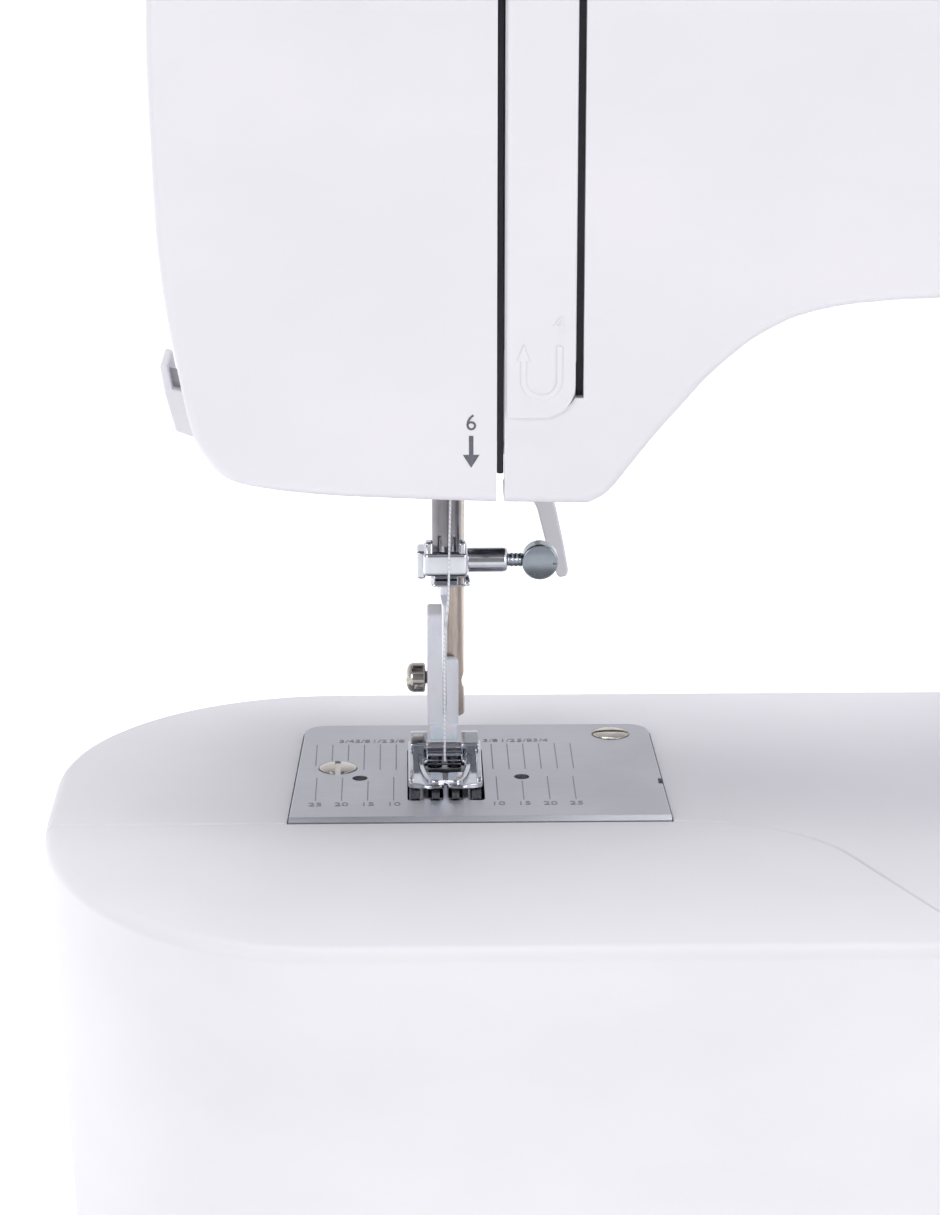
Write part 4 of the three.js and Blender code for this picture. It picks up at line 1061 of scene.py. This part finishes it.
def tension_dial():
    profile = [(0, -18), (12.6, -18), (13.1, -17.6), (13.1, -10.4), (12.6, -10), (0, -10)]
    wheel = lathe("tension_dial", profile, "x", (0, -30, 172), 96)
    rib = block("rib", (-17.4, -43.4, 171.4), (-10.6, -42.9, 172.6), 0.15)
    ribs = repeated("ribs", rib, 40, GREY_ABS, about=(0, -30, 172), turn=(9, 0, 0))
    dress(merged("tension_dial", [wheel, ribs]), "tension_dial", "grey_plastic", GREY_ABS,
          stands_for=("tension_dial",))
    words = [lettering("number", str(k), 3.6, -14, -30, 172, "xz", 0.04) for k in range(1, 10)]
    centre = at(-14, -30, 172)
    for k, word in enumerate(words):
        turn = math.radians((k - 4) * 26)
        for v in word.data.vertices:
            off = v.co - centre
            radius = 13.13 * MM
            v.co = centre + Vector((
                off.x,
                -radius * math.cos(turn) - off.z * math.sin(turn) + off.y * math.cos(turn),
                -radius * math.sin(turn) + off.z * math.cos(turn) + off.y * math.sin(turn)))
    dress(merged("tension_numbers", words), "tension_dial", "grey_plastic", INK)


def reverse_lever():
    side = rounded([(-52, 24, 2.2), (-50, 22, 2), (-30, 25, 6), (-12, 26, 2), (-12, 34, 2), (-30, 33, 6),
                    (-52, 36, 2.5)], 5)
    lever = slab("reverse_lever", side, "yz", 206, 230, 1.2, 1.2, 4)
    pivot = rod("pivot", "x", 4.5, 206, 230, (-12, 30), 0.3, 40)
    scoop = rod("scoop", "x", 9, 209.5, 226.5, (-60.2, 30), 2, 48)
    lever = carve(add(lever, pivot), [scoop])
    dress(lever, "reverse_lever", "grey_plastic", GREY_ABS, stands_for=("reverse_lever",), edge=0.2)


def power_parts():
    swing = [(276, -22)] + arc(276, -22, 9, 9, -42, 42, 24)
    rocker = slab("power_switch", swing, "xz", 23, 39, 0.5, 0.5, 3)
    carve(rocker, [rod("dish", "y", 14, 24.5, 37.5, (297.2, -22), 0.5, 48)])
    dress(rocker, "power_switch", "black_plastic", DARK_ABS, stands_for=("power_switch",), edge=0.2)
    shell = block("power_inlet", (266, 20.4, -59.6), (282.4, 43.6, -36.4), 1.0, 3, "yz")
    flange = slab("flange", rounded([(18, -62, 2), (46, -62, 2), (46, -34, 2), (18, -34, 2)], 5), "yz", 283.3,
                  284.8, 0.1, 0.4, 3)
    neck = block("neck", (282, 22, -58), (284, 42, -38), 0.4, 2, "yz")
    cavity = slab("cavity", rounded([(24, -56, 5), (40, -56, 5), (40, -40, 1), (24, -40, 1)], 5), "yz", 269,
                  290, 0, 0)
    inlet = carve(add(shell, flange, neck), [cavity])
    dress(inlet, "machine", "black_plastic", DARK_ABS, stands_for=("power_inlet",), edge=0.2)
    pins = [block("pin", (268, y, -51), (280, y + 1.4, -45), 0.45, 3, "yz") for y in (28, 34.6)]
    dress(merged("inlet_pins", pins), "machine", "nickel", NICKEL)


def handwheel():
    y, z = SHAFT_YZ
    profile = [(4.02, 284), (32.6, 284), (33.6, 284.6), (34, 285.8), (34, 299.2), (33.5, 301.2), (32.2, 303),
               (30, 304),
               (28, 304), (26.8, 303.4), (26, 302.2), (26, 298.6), (25.4, 298), (4.02, 298)]
    wheel = lathe("handwheel", profile, "x", (0, y, z), 128)
    flute = block("flute", (286.5, y - 0.75, z + 33.3), (299.5, y + 0.75, z + 35), 0.35, 2)
    flutes = repeated("flutes", flute, 60, WHITE_ABS, about=(0, y, z), turn=(6, 0, 0))
    carve(wheel, [flutes])
    dress(wheel, "main_shaft", "white_abs", WHITE_ABS, stands_for=("handwheel",), edge=0.15)
    profile = [(0, 300.3), (4.3, 300.3), (4.3, 298.4), (14.4, 298.4), (15, 299), (15, 303.2), (14.5, 304.8),
               (13, 305.8), (0, 306)]
    knob = lathe("clutch_knob", profile, "x", (0, y, z), 96)
    flute = block("flute", (300, y - 0.6, z + 14.4), (304.6, y + 0.6, z + 15.6), 0.3, 2)
    carve(knob, [repeated("flutes", flute, 30, GREY_ABS, about=(0, y, z), turn=(12, 0, 0)),
                 lathe("dish", [(0, 305.4), (9, 305.4), (9.6, 307), (0, 307)], "x", (0, y, z), 64)])
    dress(knob, "clutch", "grey_plastic", GREY_ABS, stands_for=("clutch_knob",), edge=0.15)


# ---- top fittings --------------------------------------------------------------------------------
def top_fittings():
    grip = slab("carry_handle", rounded([(60, -4, 8), (190, -4, 8), (190, 37.4, 2), (60, 37.4, 2)], 8), "xy",
                205.4, 213.4, 1.5, 2.5, 5)
    carve(grip, [slab("gap", rounded([(68.5, 9, 4), (181.5, 9, 4), (181.5, 60, 0), (68.5, 60, 0)], 6), "xy",
                      200, 220, 0, 0)])
    pins = [rod("pin", "x", 2, a, b, (34, 209.5), 0.2, 32) for a, b in ((57, 61), (189, 193))]
    dress(add(grip, *pins), "carry_handle", "white_abs", WHITE_ABS, stands_for=("carry_handle",), edge=0.4)

    y, z = 26, 197
    profile = [(0, 201), (1.4, 201), (2.2, 202), (2.2, 265.7), (5.6, 265.7), (6, 266.2), (6, 269.2),
               (5.6, 269.7), (0, 269.7)]
    dress(lathe("spool_pin", profile, "x", (0, y, z), 48), "machine", "grey_plastic", GREY_ABS,
          stands_for=("spool_pin",))
    profile = [(2.6, 211), (11, 211), (11.5, 211.4), (11.5, 212.6), (11, 213), (9.9, 213.2)]
    steps = 66
    for k in range(steps + 1):
        profile.append((10.02 + (0.16 if k % 2 else 0), 213.4 + 39.2 * k / steps))
    profile += [(9.9, 252.8), (11, 253), (11.5, 253.4), (11.5, 254.6), (11, 255), (2.6, 255)]
    spool = lathe("thread_spool", profile, "x", (0, y, z), 64)
    dress(spool, "spool", "thread", THREAD, stands_for=("thread_spool",))
    cap = lathe("spool_cap", [(2.35, 207), (7.6, 207), (8, 207.5), (7.6, 209.6), (5, 210.6), (2.35, 210.6)],
                "x", (0, y, z), 48)
    dress(cap, "machine", "grey_plastic", GREY_ABS)

    guides = []
    for x, y in ((196, -16), (31, -16)):
        post = lathe("post", [(0, 204.3), (3, 204.3), (3, 205.4), (1.5, 206.2), (1.5, 210.6), (2.4, 211),
                              (2.4, 212), (1.9, 212.4), (0, 212.4)], "z",
                     (x, y, 0), 32)
        guides.append(post)
    dress(merged("thread_guides", guides), "machine", "grey_plastic", GREY_ABS)

    dress(block("winder_base", (236, -24, 197), (252, -12, 200.6), 0.8, 3), "winder_base", "grey_plastic",
          GREY_ABS,
          stands_for=("winder_base",))
    profile = [(0, 201), (2.6, 201), (2.6, 206.3), (5.6, 206.5), (6, 206.9), (6, 207.6), (5.6, 208),
               (2.6, 208.2), (2.6, 219.6),
               (2.2, 221.4), (1.5, 222.3), (0, 222.5)]
    spindle = lathe("winder_spindle", profile, "z", (245, -18, 0), 48)
    carve(spindle, [cube((242, -18.3, 215), (248, -17.7, 224))])
    dress(spindle, "winder_spindle", "grey_plastic", GREY_ABS, stands_for=("winder_spindle",), edge=0.1)
    stop = lathe("winder_stop", [(0, 204.3), (6, 204.3), (6, 210.9), (5.2, 211.7), (0, 211.8)], "z",
                 (270, -18, 0), 48)
    dress(stop, "machine", "grey_plastic", GREY_ABS)


# ---- what the covers hide -------------------------------------------------------------------------
def mechanism():
    inside = (
        ("steel", GROUND_STEEL, 0.2, ("main_shaft", "lower_shaft", "hook_race", "needle_bar_link")),
        ("chrome", CHROME, 0.15, ("hook", "bobbin_case")),
        ("cast", CAST_ALLOY, 0.4, ("arm_frame", "crank", "belt_pulley", "motor_pulley", "needle_gate",
                                   "presser_collar", "feed_bar")),
        ("clear_plastic", NYLON, 0.15, ("bobbin",)),
        ("rubber", RUBBER, 0.15, ("timing_belt", "drive_belt")),
        ("black_plastic", DARK_ABS, 0.5, ("motor",)),
    )
    for slot, material, edge, names in inside:
        for name in names:
            refined(name, slot, material, edge)
    # The lifted bar would shorten the spring by 6 of its 41.2 mm, from below; here the spring is only carried
    # over and given a mesh of its own, unshortened.
    spring = refined("presser_spring", "steel", GROUND_STEEL, 0.2)
    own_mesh(spring)


# ---- floor, light and camera ----------------------------------------------------------------------
def studio():
    data = bpy.data.meshes.new("floor")
    low = CAD_BOX[0].z
    data.from_pydata([(-4, -3, low), (4, -3, low), (4, 4, low), (-4, 4, low)], [], [(0, 1, 2, 3)])
    floor = bpy.data.objects.new("floor", data)
    bpy.context.scene.collection.objects.link(floor)
    material, tree, place = blank("pale_floor")
    cloud = noise(tree, place, 400, 2)
    behind = put(tree, "ShaderNodeSeparateXYZ", None, _0=place).outputs["Y"]
    glow = put(tree, "ShaderNodeMapRange", {"From Min": -0.25, "From Max": 0.1, "To Min": 0.0,
                                            "To Max": 0.65}, Value=behind).outputs[0]
    close(material, tree, {"Roughness": 0.9, "Emission Color": (1, 1, 1, 1)},
          Base_Color=ramp(tree, cloud, [(0.3, "#f4f4f5"), (0.7, "#fafafa")]), Emission_Strength=glow)
    data.materials.append(material)

    world = bpy.data.worlds.new("studio")
    world.use_nodes = True
    tree = world.node_tree
    tree.nodes.clear()
    place = put(tree, "ShaderNodeTexCoord").outputs["Generated"]
    way = put(tree, "ShaderNodeSeparateXYZ", None, _0=place)
    level = put(tree, "ShaderNodeMapRange", {"From Min": -0.6, "From Max": 0.3, "To Min": 0.3, "To Max": 0.9},
                Value=way.outputs["Y"]).outputs[0]
    above = put(tree, "ShaderNodeMapRange", {"From Min": 0.2, "From Max": 0.8, "To Min": 1.0, "To Max": 0.55},
                Value=way.outputs["Z"]).outputs[0]
    shade = put(tree, "ShaderNodeMath", {"operation": "MULTIPLY"}, _0=level, _1=above).outputs[0]
    light = put(tree, "ShaderNodeBackground", {"Color": linear("#fbfbff")}, Strength=shade)
    put(tree, "ShaderNodeOutputWorld", _0=light.outputs[0])
    bpy.context.scene.world = world

    def softbox(name, place, aim, size, power):
        lamp_data = bpy.data.lights.new(name, "AREA")
        lamp_data.shape = "RECTANGLE"
        lamp_data.size, lamp_data.size_y = size
        lamp_data.energy = power
        lamp_data.color = (1, 1, 1)
        made = bpy.data.objects.new(name, lamp_data)
        made.location = at(*place)
        made.rotation_euler = (at(*aim) - at(*place)).to_track_quat("-Z", "Y").to_euler()
        bpy.context.scene.collection.objects.link(made)

    softbox("key", (-520, -640, 330), (0, 0, 60), (0.5, 0.5), 2.6)
    softbox("fill", (620, -560, 260), (0, 0, 60), (0.4, 0.6), 2.1)
    softbox("top", (90, 60, 760), (60, 0, 0), (0.8, 0.5), 4.4)

    yaw, pitch = 0.0203846, 0.2891764
    lens = bpy.data.cameras.new("camera")
    lens.lens = 100
    lens.sensor_width = 36
    lens.clip_start, lens.clip_end = 0.01, 20
    camera = bpy.data.objects.new("camera", lens)
    camera.location = at(-7.80, -626.19, 220.65)
    ahead = Vector((math.sin(yaw) * math.cos(pitch), math.cos(yaw) * math.cos(pitch), -math.sin(pitch)))
    camera.rotation_euler = ahead.to_track_quat("-Z", "Y").to_euler()
    bpy.context.scene.collection.objects.link(camera)
    bpy.context.scene.camera = camera
    bpy.context.scene.view_settings.view_transform = "Standard"


base()
bed()
needle_plate()
feed_teeth()
covers()
channel_cover()
direction_marks()
thread_cutter()
needle_group()
presser_group()
presser_foot()
threads()
take_up()
lamp()
dial("pattern_dial", "pattern_dial", 24, 9, 218, 120, [str(k) for k in range(1, 11)])
dial("stitch_length_dial", "stitch_length_dial", 15, 7, 218, 68, ["0", "1", "2", "3", "4"])
tension_dial()
reverse_lever()
power_parts()
handwheel()
top_fittings()
mechanism()
studio()
